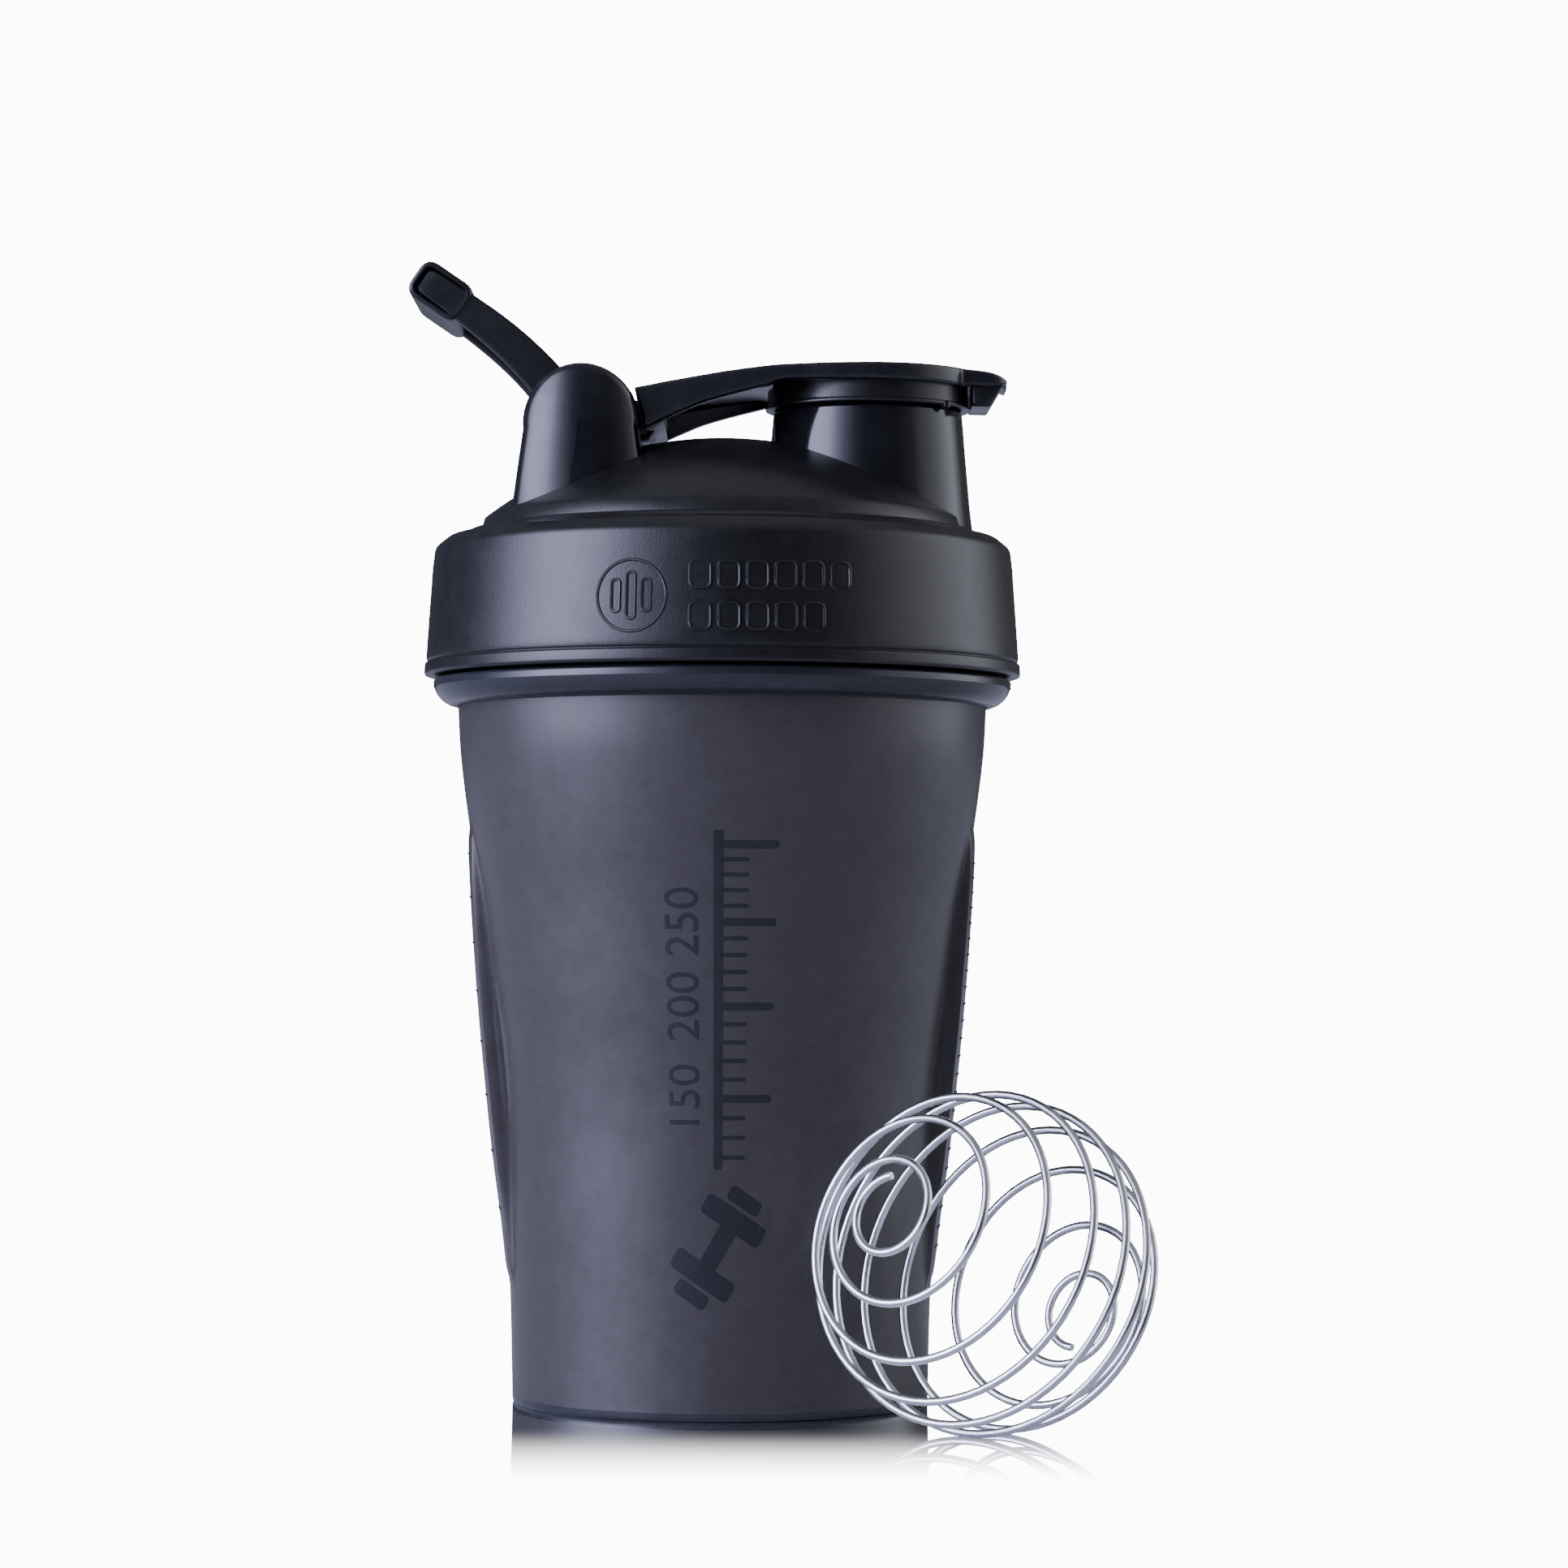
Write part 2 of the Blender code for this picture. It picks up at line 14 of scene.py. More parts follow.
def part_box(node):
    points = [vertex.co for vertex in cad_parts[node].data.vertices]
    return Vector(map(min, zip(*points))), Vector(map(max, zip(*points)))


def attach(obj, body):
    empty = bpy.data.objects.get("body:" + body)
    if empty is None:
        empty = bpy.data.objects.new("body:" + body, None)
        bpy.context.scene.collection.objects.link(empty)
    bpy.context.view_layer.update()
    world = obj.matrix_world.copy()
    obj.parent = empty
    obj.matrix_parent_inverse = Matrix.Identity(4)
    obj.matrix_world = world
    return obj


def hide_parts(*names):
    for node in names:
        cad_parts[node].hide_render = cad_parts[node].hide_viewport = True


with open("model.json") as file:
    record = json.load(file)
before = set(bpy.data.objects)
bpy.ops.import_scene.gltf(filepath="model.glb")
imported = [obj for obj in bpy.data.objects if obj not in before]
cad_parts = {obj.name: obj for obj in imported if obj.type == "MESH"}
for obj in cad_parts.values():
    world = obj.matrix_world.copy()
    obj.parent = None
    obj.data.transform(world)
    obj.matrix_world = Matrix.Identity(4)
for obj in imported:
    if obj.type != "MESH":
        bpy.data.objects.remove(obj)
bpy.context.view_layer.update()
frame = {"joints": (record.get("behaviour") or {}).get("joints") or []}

MM = 0.001
COLUMNS = 192


def corner(node, which):
    """A corner of a CAD node's box in millimetres."""
    return [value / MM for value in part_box(node)[which]]


JOINTS = {joint["name"]: joint for joint in frame["joints"]}
PIVOT_X, _, PIVOT_Z = [value / MM for value in JOINTS["flip_cap_hinge"]["pos_m"]]
PIVOT = (PIVOT_X, PIVOT_Z)

# Cup
WALL = 1.8
RIM_Z = corner("cup", 1)[2]
COLLAR_RADIUS = corner("cup", 1)[0]
COLLAR_TOP = 114.6
NECK_RADIUS = 41.2
FLOOR_Z = 2.6
CUP_LINE = [(33.05, 1.3), (33.1, 4.0), (33.35, 15.0), (33.9, 29.8), (34.4, 43.8), (35.3, 55.0), (36.6, 65.7),
            (38.2, 78.8), (40.1, 91.0), (41.5, 102.0), (42.0, 110.5)]
PANEL_LINE = [(33.4, 19.0), (34.1, 21.5), (35.0, 29.0), (36.4, 39.4), (37.5, 49.7), (38.5, 60.0), (39.3, 70.0),
              (40.0, 80.7), (40.3, 88.0), (40.1, 91.0)]
PANEL_HALF_WIDTH = 8.4
PANEL_EDGE = 0.7

# Screw thread
LEAD = 12.0
CUP_THREAD_START = 118.5
LID_THREAD_START = 118.0

# Lid
SKIRT_BOTTOM = corner("lid", 0)[2]
SKIRT_RADIUS = corner("lid", 1)[0]
LID_BORE = 44.0
ROOF_Z = 135.8
DOME_RADIUS = 62.0
DOME_TOP = 152.9
SEAL_WALL_INNER = 36.6
SEAL_WALL_OUTER = 38.2
SEAL_WALL_END = 128.8
SPOUT_X = 23.0
SPOUT_TOP = 159.4
SPOUT_BORE = 12.6
TOWER_RADIUS = 9.1
TOWER_INNER = 11.8
TOWER_RIM = 1.15
TOWER_ROUND_CENTRE = (-21.6, 8.4)
TOWER_ROUND = [(136.0, 14.5), (145.0, 14.45), (149.5, 14.05), (154.0, 13.35), (158.0, 12.5), (161.0, 11.7),
               (164.0, 10.7)]
PIN_RADIUS = 2.4
PIN_BORE = 2.8
PIN_END = 15.0
HUB_RADIUS = 4.2

# Flip cap
DRUM_RADIUS = 16.0
HEAD_UNDERSIDE = 160.7
PLUG_BOTTOM = corner("flip_cap", 0)[2]

# Carry loop
LOOP_ANGLE = math.radians(136.4)
LOOP_BAR_CENTRE = 30.8
LOOP_BOW = 1.6
LOOP_BOW_LENGTH = 30.5

# Mixing ball
BALL_CENTRE = Vector((39.5, -48.8, 25.5))
BALL_RADIUS = 25.85
WIRE_RADIUS = 0.625
BALL_AXIS = Vector((-0.615, -0.711, 0.341)).normalized()
BALL_TURNS = 9.5
BALL_FIRST_TURN = math.radians(5.7)
TURN_SPACING = 15.8


# ---------------------------------------------------------------- camera, light and floor

def make_camera():
    """A long lens, level, a little to the right of the bottle's axis."""
    data = bpy.data.cameras.new("camera")
    data.sensor_width = 36.0
    data.lens = 104.3
    data.shift_x = 0.0186
    data.shift_y = 0.0902
    data.clip_end = 20.0
    camera = bpy.data.objects.new("camera", data)
    camera.location = Vector((5.3, -723.5, 75.6)) * MM
    camera.rotation_euler = (math.radians(90.0), math.radians(-0.19), 0.0)
    bpy.context.scene.collection.objects.link(camera)
    bpy.context.scene.camera = camera


def node_math(tree, operation, *values):
    """A Math node of numbers or sockets."""
    node = tree.nodes.new("ShaderNodeMath")
    node.operation = operation
    for socket, value in zip(node.inputs, values):
        if isinstance(value, (int, float)):
            socket.default_value = value
        else:
            tree.links.new(value, socket)
    return node.outputs[0]


# Brightness of the studio by azimuth in degrees: 0 is towards the camera, negative to the left.
STUDIO = [(-180, 0.10), (-130, 0.12), (-108, 0.3), (-96, 2.2), (-84, 7.5), (-74, 12.0), (-60, 12.5), (-50, 10.5),
          (-40, 5.2), (-30, 2.2), (-18, 0.6), (-8, 0.18), (2, 0.08), (35, 0.08), (55, 0.35), (66, 1.0), (85, 1.7),
          (104, 2.6), (116, 2.6), (127, 1.0), (137, 0.2), (155, 0.10), (180, 0.10)]
STUDIO_PEAK = 12.5
WHITE = 12.0                # brightness of the backdrop and of the lit table, both seen as white


def make_light():
    """A studio with a tall cool soft box on the left, a weaker one on the right and a dim ceiling."""
    world = bpy.data.worlds.new("studio")
    world.use_nodes = True
    tree = world.node_tree
    coordinates = tree.nodes.new("ShaderNodeTexCoord")
    split = tree.nodes.new("ShaderNodeSeparateXYZ")
    tree.links.new(coordinates.outputs["Generated"], split.inputs["Vector"])
    backwards = node_math(tree, "MULTIPLY", split.outputs["Y"], -1.0)
    azimuth = node_math(tree, "ARCTAN2", split.outputs["X"], backwards)
    part = node_math(tree, "MULTIPLY_ADD", azimuth, 0.5 / math.pi, 0.5)
    ramp = tree.nodes.new("ShaderNodeValToRGB")
    stops = ramp.color_ramp.elements
    for number, (angle, brightness) in enumerate(STUDIO):
        place = 0.5 + angle / 360.0
        stop = stops[0] if number == 0 else stops[-1] if number == len(STUDIO) - 1 else stops.new(place)
        cool = 0.70 if angle < -5 else 0.88
        level = brightness / STUDIO_PEAK
        stop.color = (level * cool * 0.97, level * cool, level, 1.0)
    tree.links.new(part, ramp.inputs["Fac"])
    height = tree.nodes.new("ShaderNodeValToRGB")
    for stop, (position, level) in zip(height.color_ramp.elements, ((0.42, 1.0), (0.86, 0.0))):
        stop.position = position
        stop.color = (level, level, level, 1.0)
    tree.links.new(split.outputs["Z"], height.inputs["Fac"])
    sides = tree.nodes.new("ShaderNodeMix")
    sides.data_type = "RGBA"
    sides.inputs["A"].default_value = (0.022, 0.023, 0.026, 1.0)
    tree.links.new(height.outputs["Color"], sides.inputs["Factor"])
    tree.links.new(ramp.outputs["Color"], sides.inputs["B"])
    background = tree.nodes["Background"]
    background.inputs["Strength"].default_value = STUDIO_PEAK
    tree.links.new(sides.outputs["Result"], background.inputs["Color"])
    white = tree.nodes.new("ShaderNodeBackground")
    white.inputs["Color"].default_value = (1.0, 1.0, 1.0, 1.0)
    white.inputs["Strength"].default_value = WHITE
    path = tree.nodes.new("ShaderNodeLightPath")
    seen = node_math(tree, "MAXIMUM", path.outputs["Is Camera Ray"], path.outputs["Is Singular Ray"])
    mix = tree.nodes.new("ShaderNodeMixShader")
    tree.links.new(seen, mix.inputs["Fac"])
    tree.links.new(background.outputs["Background"], mix.inputs[1])
    tree.links.new(white.outputs["Background"], mix.inputs[2])
    tree.links.new(mix.outputs["Shader"], tree.nodes["World Output"].inputs["Surface"])
    bpy.context.scene.world = world


def make_floor():
    """A pale table with a polished top: it mirrors the bottle, and away from the bottle it is white."""
    material = bpy.data.materials.new("pale_table")
    material.use_nodes = True
    tree = material.node_tree
    plain = tree.nodes["Principled BSDF"]
    plain.inputs["Base Color"].default_value = (0.55, 0.56, 0.6, 1.0)
    plain.inputs["Roughness"].default_value = 0.6
    mirror = tree.nodes.new("ShaderNodeBsdfGlossy")
    mirror.inputs["Roughness"].default_value = 0.0
    mirror.inputs["Color"].default_value = (0.98, 0.99, 1.0, 1.0)
    white = tree.nodes.new("ShaderNodeEmission")
    white.inputs["Strength"].default_value = WHITE
    coordinates = tree.nodes.new("ShaderNodeTexCoord")
    split = tree.nodes.new("ShaderNodeSeparateXYZ")
    tree.links.new(coordinates.outputs["Object"], split.inputs["Vector"])
    fade = tree.nodes.new("ShaderNodeMapRange")
    fade.inputs["From Min"].default_value = -0.105
    fade.inputs["From Max"].default_value = -0.036
    fade.inputs["To Min"].default_value = 1.0
    fade.inputs["To Max"].default_value = 0.0
    tree.links.new(split.outputs["Y"], fade.inputs["Value"])
    faded = node_math(tree, "POWER", fade.outputs["Result"], 3.0)
    polished = tree.nodes.new("ShaderNodeMixShader")
    tree.links.new(faded, polished.inputs["Fac"])
    tree.links.new(mirror.outputs["BSDF"], polished.inputs[1])
    tree.links.new(white.outputs["Emission"], polished.inputs[2])
    path = tree.nodes.new("ShaderNodeLightPath")
    mix = tree.nodes.new("ShaderNodeMixShader")
    tree.links.new(path.outputs["Is Camera Ray"], mix.inputs["Fac"])
    tree.links.new(plain.outputs["BSDF"], mix.inputs[1])
    tree.links.new(polished.outputs["Shader"], mix.inputs[2])
    tree.links.new(mix.outputs["Shader"], tree.nodes["Material Output"].inputs["Surface"])
    bm = bmesh.new()
    bmesh.ops.create_grid(bm, x_segments=1, y_segments=1, size=3.0)
    mesh = bpy.data.meshes.new("table_top")
    bm.to_mesh(mesh)
    bm.free()
    floor = bpy.data.objects.new("table_top", mesh)
    floor.data.materials.append(material)
    bpy.context.scene.collection.objects.link(floor)


# ---------------------------------------------------------------- materials

def new_material(name, colour, roughness, **inputs):
    """A Principled material; further inputs are given by their names with _ for a space."""
    material = bpy.data.materials.new(name)
    material.use_nodes = True
    shader = material.node_tree.nodes["Principled BSDF"]
    shader.inputs["Base Color"].default_value = (*colour, 1.0)
    shader.inputs["Roughness"].default_value = roughness
    for key, value in inputs.items():
        shader.inputs[key.replace("_", " ")].default_value = value
    return material


def noise(tree, coordinates, scale, detail=2.0, roughness=0.5):
    """A noise texture in the piece's own space; scale is in features a metre."""
    node = tree.nodes.new("ShaderNodeTexNoise")
    node.inputs["Scale"].default_value = scale
    node.inputs["Detail"].default_value = detail
    node.inputs["Roughness"].default_value = roughness
    tree.links.new(coordinates.outputs["Object"], node.inputs["Vector"])
    return node


def add_surface(material, grain, grain_height, wave_height, rough_low, rough_high, colour_low, colour_high):
    """Moulded plastic: fine grain and slow waviness in the bump, and cloudy colour and roughness."""
    tree = material.node_tree
    shader = tree.nodes["Principled BSDF"]
    coordinates = tree.nodes.new("ShaderNodeTexCoord")
    fine = noise(tree, coordinates, grain, 3.0, 0.6)
    slow = noise(tree, coordinates, 90.0, 1.0)
    cloud = noise(tree, coordinates, 260.0, 4.0, 0.6)
    first = tree.nodes.new("ShaderNodeBump")
    first.inputs["Distance"].default_value = wave_height * MM
    first.inputs["Strength"].default_value = 1.0
    second = tree.nodes.new("ShaderNodeBump")
    second.inputs["Distance"].default_value = grain_height * MM
    second.inputs["Strength"].default_value = 1.0
    tree.links.new(slow.outputs["Fac"], first.inputs["Height"])
    tree.links.new(fine.outputs["Fac"], second.inputs["Height"])
    tree.links.new(first.outputs["Normal"], second.inputs["Normal"])
    tree.links.new(second.outputs["Normal"], shader.inputs["Normal"])
    for target, low, high in (("Roughness", rough_low, rough_high), ("Base Color", colour_low, colour_high)):
        ramp = tree.nodes.new("ShaderNodeValToRGB")
        ramp.color_ramp.elements[0].position = 0.3
        ramp.color_ramp.elements[1].position = 0.7
        for element, value in zip(ramp.color_ramp.elements, (low, high)):
            element.color = (*value, 1.0) if isinstance(value, tuple) else (value, value, value, 1.0)
        tree.links.new(cloud.outputs["Fac"], ramp.inputs["Fac"])
        tree.links.new(ramp.outputs["Color"], shader.inputs[target])


def make_materials():
    """Every material of the bottle."""
    cup = new_material("smoky_satin_plastic", (0.07, 0.063, 0.067), 0.31, IOR=1.49, Transmission_Weight=0.35)
    add_surface(cup, 2600.0, 0.010, 0.02, 0.28, 0.34, (0.066, 0.058, 0.061), (0.078, 0.070, 0.074))
    gloss_cup = new_material("smoky_gloss_plastic", (0.035, 0.037, 0.046), 0.16, IOR=1.49,
                             Transmission_Weight=0.3)
    add_surface(gloss_cup, 2600.0, 0.002, 0.03, 0.14, 0.20, (0.030, 0.032, 0.040), (0.038, 0.040, 0.050))
    satin = new_material("black_satin_plastic", (0.008, 0.008, 0.009), 0.31, Specular_IOR_Level=0.5)
    add_surface(satin, 2100.0, 0.026, 0.02, 0.28, 0.34, (0.006, 0.006, 0.007), (0.010, 0.010, 0.011))
    gloss = new_material("black_gloss_plastic", (0.008, 0.008, 0.010), 0.10, Specular_IOR_Level=0.5)
    add_surface(gloss, 2400.0, 0.0012, 0.06, 0.08, 0.14, (0.007, 0.007, 0.009), (0.010, 0.010, 0.013))
    half = new_material("black_semi_gloss_plastic", (0.010, 0.010, 0.012), 0.24, Specular_IOR_Level=0.5)
    add_surface(half, 2400.0, 0.006, 0.03, 0.21, 0.28, (0.009, 0.009, 0.011), (0.013, 0.013, 0.016))
    ink = new_material("dark_ink", (0.010, 0.011, 0.014), 0.34)
    add_surface(ink, 2600.0, 0.006, 0.01, 0.31, 0.38, (0.009, 0.010, 0.013), (0.013, 0.014, 0.018))
    seal = new_material("soft_grey_silicone", (0.10, 0.10, 0.11), 0.55, Subsurface_Weight=0.05)
    add_surface(seal, 3000.0, 0.006, 0.02, 0.5, 0.6, (0.09, 0.09, 0.10), (0.12, 0.12, 0.13))
    steel = new_material("polished_steel_wire", (0.78, 0.78, 0.80), 0.12, Metallic=1.0)
    add_surface(steel, 5200.0, 0.0022, 0.0, 0.09, 0.20, (0.70, 0.70, 0.72), (0.86, 0.86, 0.88))
    return {"cup": cup, "gloss_cup": gloss_cup, "satin": satin, "gloss": gloss, "half": half, "ink": ink,
            "seal": seal, "steel": steel}


# ---------------------------------------------------------------- shape helpers

def piece(name, verts, faces, material, body, slot, nodes=(), sharp=32.0):
    """A finished piece from points in millimetres: welded, facing out, smooth, and riding on its body."""
    mesh = bpy.data.meshes.new(name)
    mesh.from_pydata([tuple(value * MM for value in vert) for vert in verts], [], faces)
    bm = bmesh.new()
    bm.from_mesh(mesh)
    bmesh.ops.remove_doubles(bm, verts=bm.verts, dist=1e-6)
    bmesh.ops.recalc_face_normals(bm, faces=bm.faces)
    bm.to_mesh(mesh)
    bm.free()
    obj = bpy.data.objects.new(name, mesh)
    bpy.context.scene.collection.objects.link(obj)
    return dress(obj, material, body, nodes, sharp)


def dress(obj, material, body, nodes=(), sharp=32.0):
    """Gives an object its material, shading and body, and hides the CAD nodes that it stands for."""
    obj.data.materials.clear()
    obj.data.materials.append(material)
    obj.data.shade_smooth()
    obj.data.set_sharp_from_angle(angle=math.radians(sharp))
    if nodes:
        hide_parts(*nodes)
    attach(obj, body)
    return obj


def spline(points, count):
    """A smooth curve (Catmull-Rom) through points, with count steps in each span."""
    path = np.array([points[0], *points, points[-1]], dtype=float)
    path[0] = 2.0 * path[1] - path[2]
    path[-1] = 2.0 * path[-2] - path[-3]
    result = []
    for index in range(1, len(path) - 2):
        before, start, end, after = path[index - 1:index + 3]
        for step in range(count):
            t = step / count
            result.append(0.5 * (2.0 * start + (end - before) * t
                                 + (2.0 * before - 5.0 * start + 4.0 * end - after) * t * t
                                 + (3.0 * start - before - 3.0 * end + after) * t ** 3))
    result.append(path[-2])
    return [tuple(float(value) for value in point) for point in result]


def arc(centre, radius, start, end, count):
    """Points of an arc, angles in degrees, both ends included."""
    angles = np.radians(np.linspace(start, end, count + 1))
    return [(centre[0] + radius * math.cos(a), centre[1] + radius * math.sin(a)) for a in angles]


def rounded(points, closed=False, segments=5):
    """An outline whose points may carry a third value, the radius that rounds that corner."""
    result = []
    total = len(points)
    for index, point in enumerate(points):
        radius = point[2] if len(point) > 2 else 0.0
        if not radius or (not closed and index in (0, total - 1)):
            result.append((point[0], point[1]))
            continue
        here = Vector(point[:2])
        back = Vector(points[index - 1][:2]) - here
        ahead = Vector(points[(index + 1) % total][:2]) - here
        half = back.angle(ahead) / 2.0
        reach = min(radius / math.tan(half), 0.48 * back.length, 0.48 * ahead.length)
        start = here + back.normalized() * reach
        end = here + ahead.normalized() * reach
        for step in range(segments + 1):
            t = step / segments
            bend = start * (1.0 - t) ** 2 + here * 2.0 * t * (1.0 - t) + end * t * t
            result.append((bend.x, bend.y))
    return result


def lathe_faces(rows, columns, closed):
    """Quads between rows of points round an axis."""
    faces = []
    for row in range(rows if closed else rows - 1):
        other = (row + 1) % rows
        for column in range(columns):
            beside = (column + 1) % columns
            faces.append((row * columns + column, row * columns + beside,
                          other * columns + beside, other * columns + column))
    return faces


def lathe(outline, columns=COLUMNS, centre=(0.0, 0.0), closed=False):
    """Points and faces of an outline of (radius, height) turned about an upright axis."""
    verts = []
    for radius, height in outline:
        for column in range(columns):
            angle = 2.0 * math.pi * column / columns
            verts.append((centre[0] + radius * math.cos(angle), centre[1] + radius * math.sin(angle), height))
    return verts, lathe_faces(len(outline), columns, closed)


def loft(rings, caps=True):
    """Points and faces through rings of as many points each."""
    size = len(rings[0])
    verts = [tuple(point) for ring in rings for point in ring]
    faces = []
    for row in range(len(rings) - 1):
        for column in range(size):
            beside = (column + 1) % size
            faces.append((row * size + column, row * size + beside,
                          (row + 1) * size + beside, (row + 1) * size + column))
    if caps:
        faces.append(tuple(range(size)))
        faces.append(tuple(range((len(rings) - 1) * size, len(rings) * size)))
    return verts, faces


def merged(*shapes):
    """Several sets of points and faces as one."""
    verts, faces = [], []
    for shape_verts, shape_faces in shapes:
        start = len(verts)
        verts.extend(shape_verts)
        faces.extend(tuple(index + start for index in face) for face in shape_faces)
    return verts, faces


def tube(path, radius, sides=12, caps=True):
    """Points and faces of a round rod along a path."""
    points = [Vector(point) for point in path]
    rings = []
    normal = None
    for index, point in enumerate(points):
        ahead = points[min(index + 1, len(points) - 1)] - points[max(index - 1, 0)]
        ahead.normalize()
        if normal is None:
            normal = ahead.orthogonal()
        normal = (normal - ahead * normal.dot(ahead)).normalized()
        side = ahead.cross(normal)
        size = radius[index] if isinstance(radius, list) else radius
        rings.append([point + (normal * math.cos(a) + side * math.sin(a)) * size
                      for a in np.linspace(0.0, 2.0 * math.pi, sides, endpoint=False)])
    return loft(rings, caps)


def prism(outline, near, far, edge=0.8, segments=4):
    """An outline of (X, Z) that reaches from one Y to another, with rounded rims."""
    flat = [Vector(point) for point in outline]
    total = len(flat)
    inward = []
    for index in range(total):
        along = (flat[(index + 1) % total] - flat[index - 1]).normalized()
        inward.append(Vector((-along.y, along.x)))
    rings = []
    steps = [(90.0 * step / segments) for step in range(segments + 1)]
    for place, sign, order in ((near, 1.0, steps), (far, -1.0, list(reversed(steps)))):
        for angle in order:
            inset = edge * (1.0 - math.sin(math.radians(angle)))
            y = place + sign * edge * (1.0 - math.cos(math.radians(angle)))
            rings.append([(p.x + n.x * inset, y, p.y + n.y * inset) for p, n in zip(flat, inward)])
    return loft(rings)


def mesh_object(name, shape):
    """A bare object of points and faces in millimetres, for use as a tool."""
    mesh = bpy.data.meshes.new(name)
    mesh.from_pydata([tuple(value * MM for value in vert) for vert in shape[0]], [], shape[1])
    bm = bmesh.new()
    bm.from_mesh(mesh)
    bmesh.ops.remove_doubles(bm, verts=bm.verts, dist=1e-6)
    bmesh.ops.recalc_face_normals(bm, faces=bm.faces)
    bm.to_mesh(mesh)
    bm.free()
    obj = bpy.data.objects.new(name, mesh)
    bpy.context.scene.collection.objects.link(obj)
    return obj


def cut(obj, *tools):
    """Cuts tools out of an object and removes them."""
    for tool in tools:
        boolean = obj.modifiers.new("cut", "BOOLEAN")
        boolean.operation = "DIFFERENCE"
        boolean.solver = "EXACT"
        boolean.object = tool
        graph = bpy.context.evaluated_depsgraph_get()
        mesh = bpy.data.meshes.new_from_object(obj.evaluated_get(graph))
        obj.modifiers.clear()
        obj.data = mesh
        bpy.data.objects.remove(tool, do_unlink=True)
    return obj


def thread_ridge(root, crest, start, turns, first_angle, half_root=1.6, half_crest=0.6):
    """One ridge of the screw thread, which fades out at its ends."""
    count = int(96 * turns)
    rings = []
    for index in range(count + 1):
        fade = min(1.0, 0.1 + min(index, count - index) / 10.0)
        angle = first_angle + 2.0 * math.pi * turns * index / count
        height = start + LEAD * turns * index / count
        top = root + (crest - root) * fade
        section = [(root, -half_root), (top, -half_crest), (top, half_crest), (root, half_root)]
        rings.append([(radius * math.cos(angle), radius * math.sin(angle), height + rise)
                      for radius, rise in section])
    return loft(rings)


# ---------------------------------------------------------------- cup

def cup_radius(height):
    """The cup's outer radius, away from the grip panels."""
    return float(np.interp(height, CUP_HEIGHTS, CUP_RADII))


CUP_CURVE = spline(CUP_LINE, 12)
CUP_RADII = [radius for radius, _ in CUP_CURVE]
CUP_HEIGHTS = [height for _, height in CUP_CURVE]
PANEL_CURVE = spline(PANEL_LINE, 8)


def panel_rise(y, height):
    """How far the grip panels stand out of the wall."""
    if not PANEL_LINE[0][1] < height < PANEL_LINE[-1][1]:
        return 0.0
    radius = float(np.interp(height, [z for _, z in PANEL_CURVE], [r for r, _ in PANEL_CURVE]))
    edge = min(1.0, max(0.0, (PANEL_HALF_WIDTH + PANEL_EDGE - abs(y)) / PANEL_EDGE))
    edge = edge * edge * (3.0 - 2.0 * edge)
    return max(0.0, radius - cup_radius(height)) * edge


def cup_columns():
    """Sideways places of the columns: by Y across the two panels, by angle between them."""
    fine = [step * 0.7 for step in range(12)]
    fine += [PANEL_HALF_WIDTH + PANEL_EDGE * part for part in (0.0, 0.25, 0.5, 0.75, 1.0)] + [9.8]
    fine = sorted(set(round(value, 3) for value in fine))
    return [-value for value in reversed(fine[1:])] + fine


def cup_ring(radius, height, push):
    """One ring of the cup's points."""
    across = cup_columns()
    reference = max(radius, 33.0)
    right = [math.asin(y / reference) for y in across]
    between = np.linspace(right[-1], math.pi - right[-1], 74)[1:-1]
    half = right + list(between)
    angles = half + [angle + math.pi for angle in half]
    ring = []
    for angle in angles:
        y = reference * math.sin(angle)
        near_panel = abs(y) < 10.0
        size = radius + (panel_rise(y, height) if push and near_panel else 0.0)
        ring.append((size * math.cos(angle), size * math.sin(angle), height))
    return ring


def make_cup(materials):
    """Cup wall, foot, collar, neck and thread."""
    outer = [(radius, height, True) for radius, height in reversed(CUP_CURVE)]
    inner = [(radius - WALL, max(height, 3.9), True) for radius, height in CUP_CURVE if height > 4.5]
    floor = rounded([(0.0, FLOOR_Z), (31.3, FLOOR_Z, 1.6), (31.3, 4.4)])
    neck = rounded([(NECK_RADIUS - WALL, COLLAR_TOP), (NECK_RADIUS - WALL, RIM_Z, 0.5), (NECK_RADIUS, RIM_Z, 0.5),
                    (NECK_RADIUS, COLLAR_TOP, 0.5), (COLLAR_RADIUS, COLLAR_TOP, 0.7),
                    (COLLAR_RADIUS, COLLAR_TOP - 1.4)], segments=4)
    bead = arc((42.0, COLLAR_TOP - 0.5), COLLAR_RADIUS - 42.0, -8.0, -84.0, 12)
    foot = rounded([(33.05, 1.25), (33.0, 0.0, 1.1), (26.0, 0.0, 0.3), (25.5, 0.8, 0.3), (20.5, 0.8, 0.3),
                    (20.0, 0.0, 0.3), (3.2, 0.0, 0.2), (3.0, 0.35, 0.2), (1.2, 0.35, 0.2), (0.9, 0.15, 0.1),
                    (0.0, 0.15)])
    outline = [(r, z, False) for r, z in floor] + inner + [(r, z, False) for r, z in neck + bead]
    outline += outer[:-1] + [(r, z, False) for r, z in foot]
    rings = [cup_ring(radius, height, push) for radius, height, push in outline]
    shape = loft(rings, caps=False)
    cup = piece("cup_wall", *shape, materials["cup"], "cup", "smoky_plastic", ("cup",), 40.0)
    collar_faces(cup, materials["gloss_cup"])
    ridges = merged(*[thread_ridge(NECK_RADIUS - 0.2, 43.0, CUP_THREAD_START, 0.9, math.pi * start)
                      for start in range(2)])
    piece("cup_thread", *ridges, materials["gloss_cup"], "cup", "smoky_plastic", ("cup",))


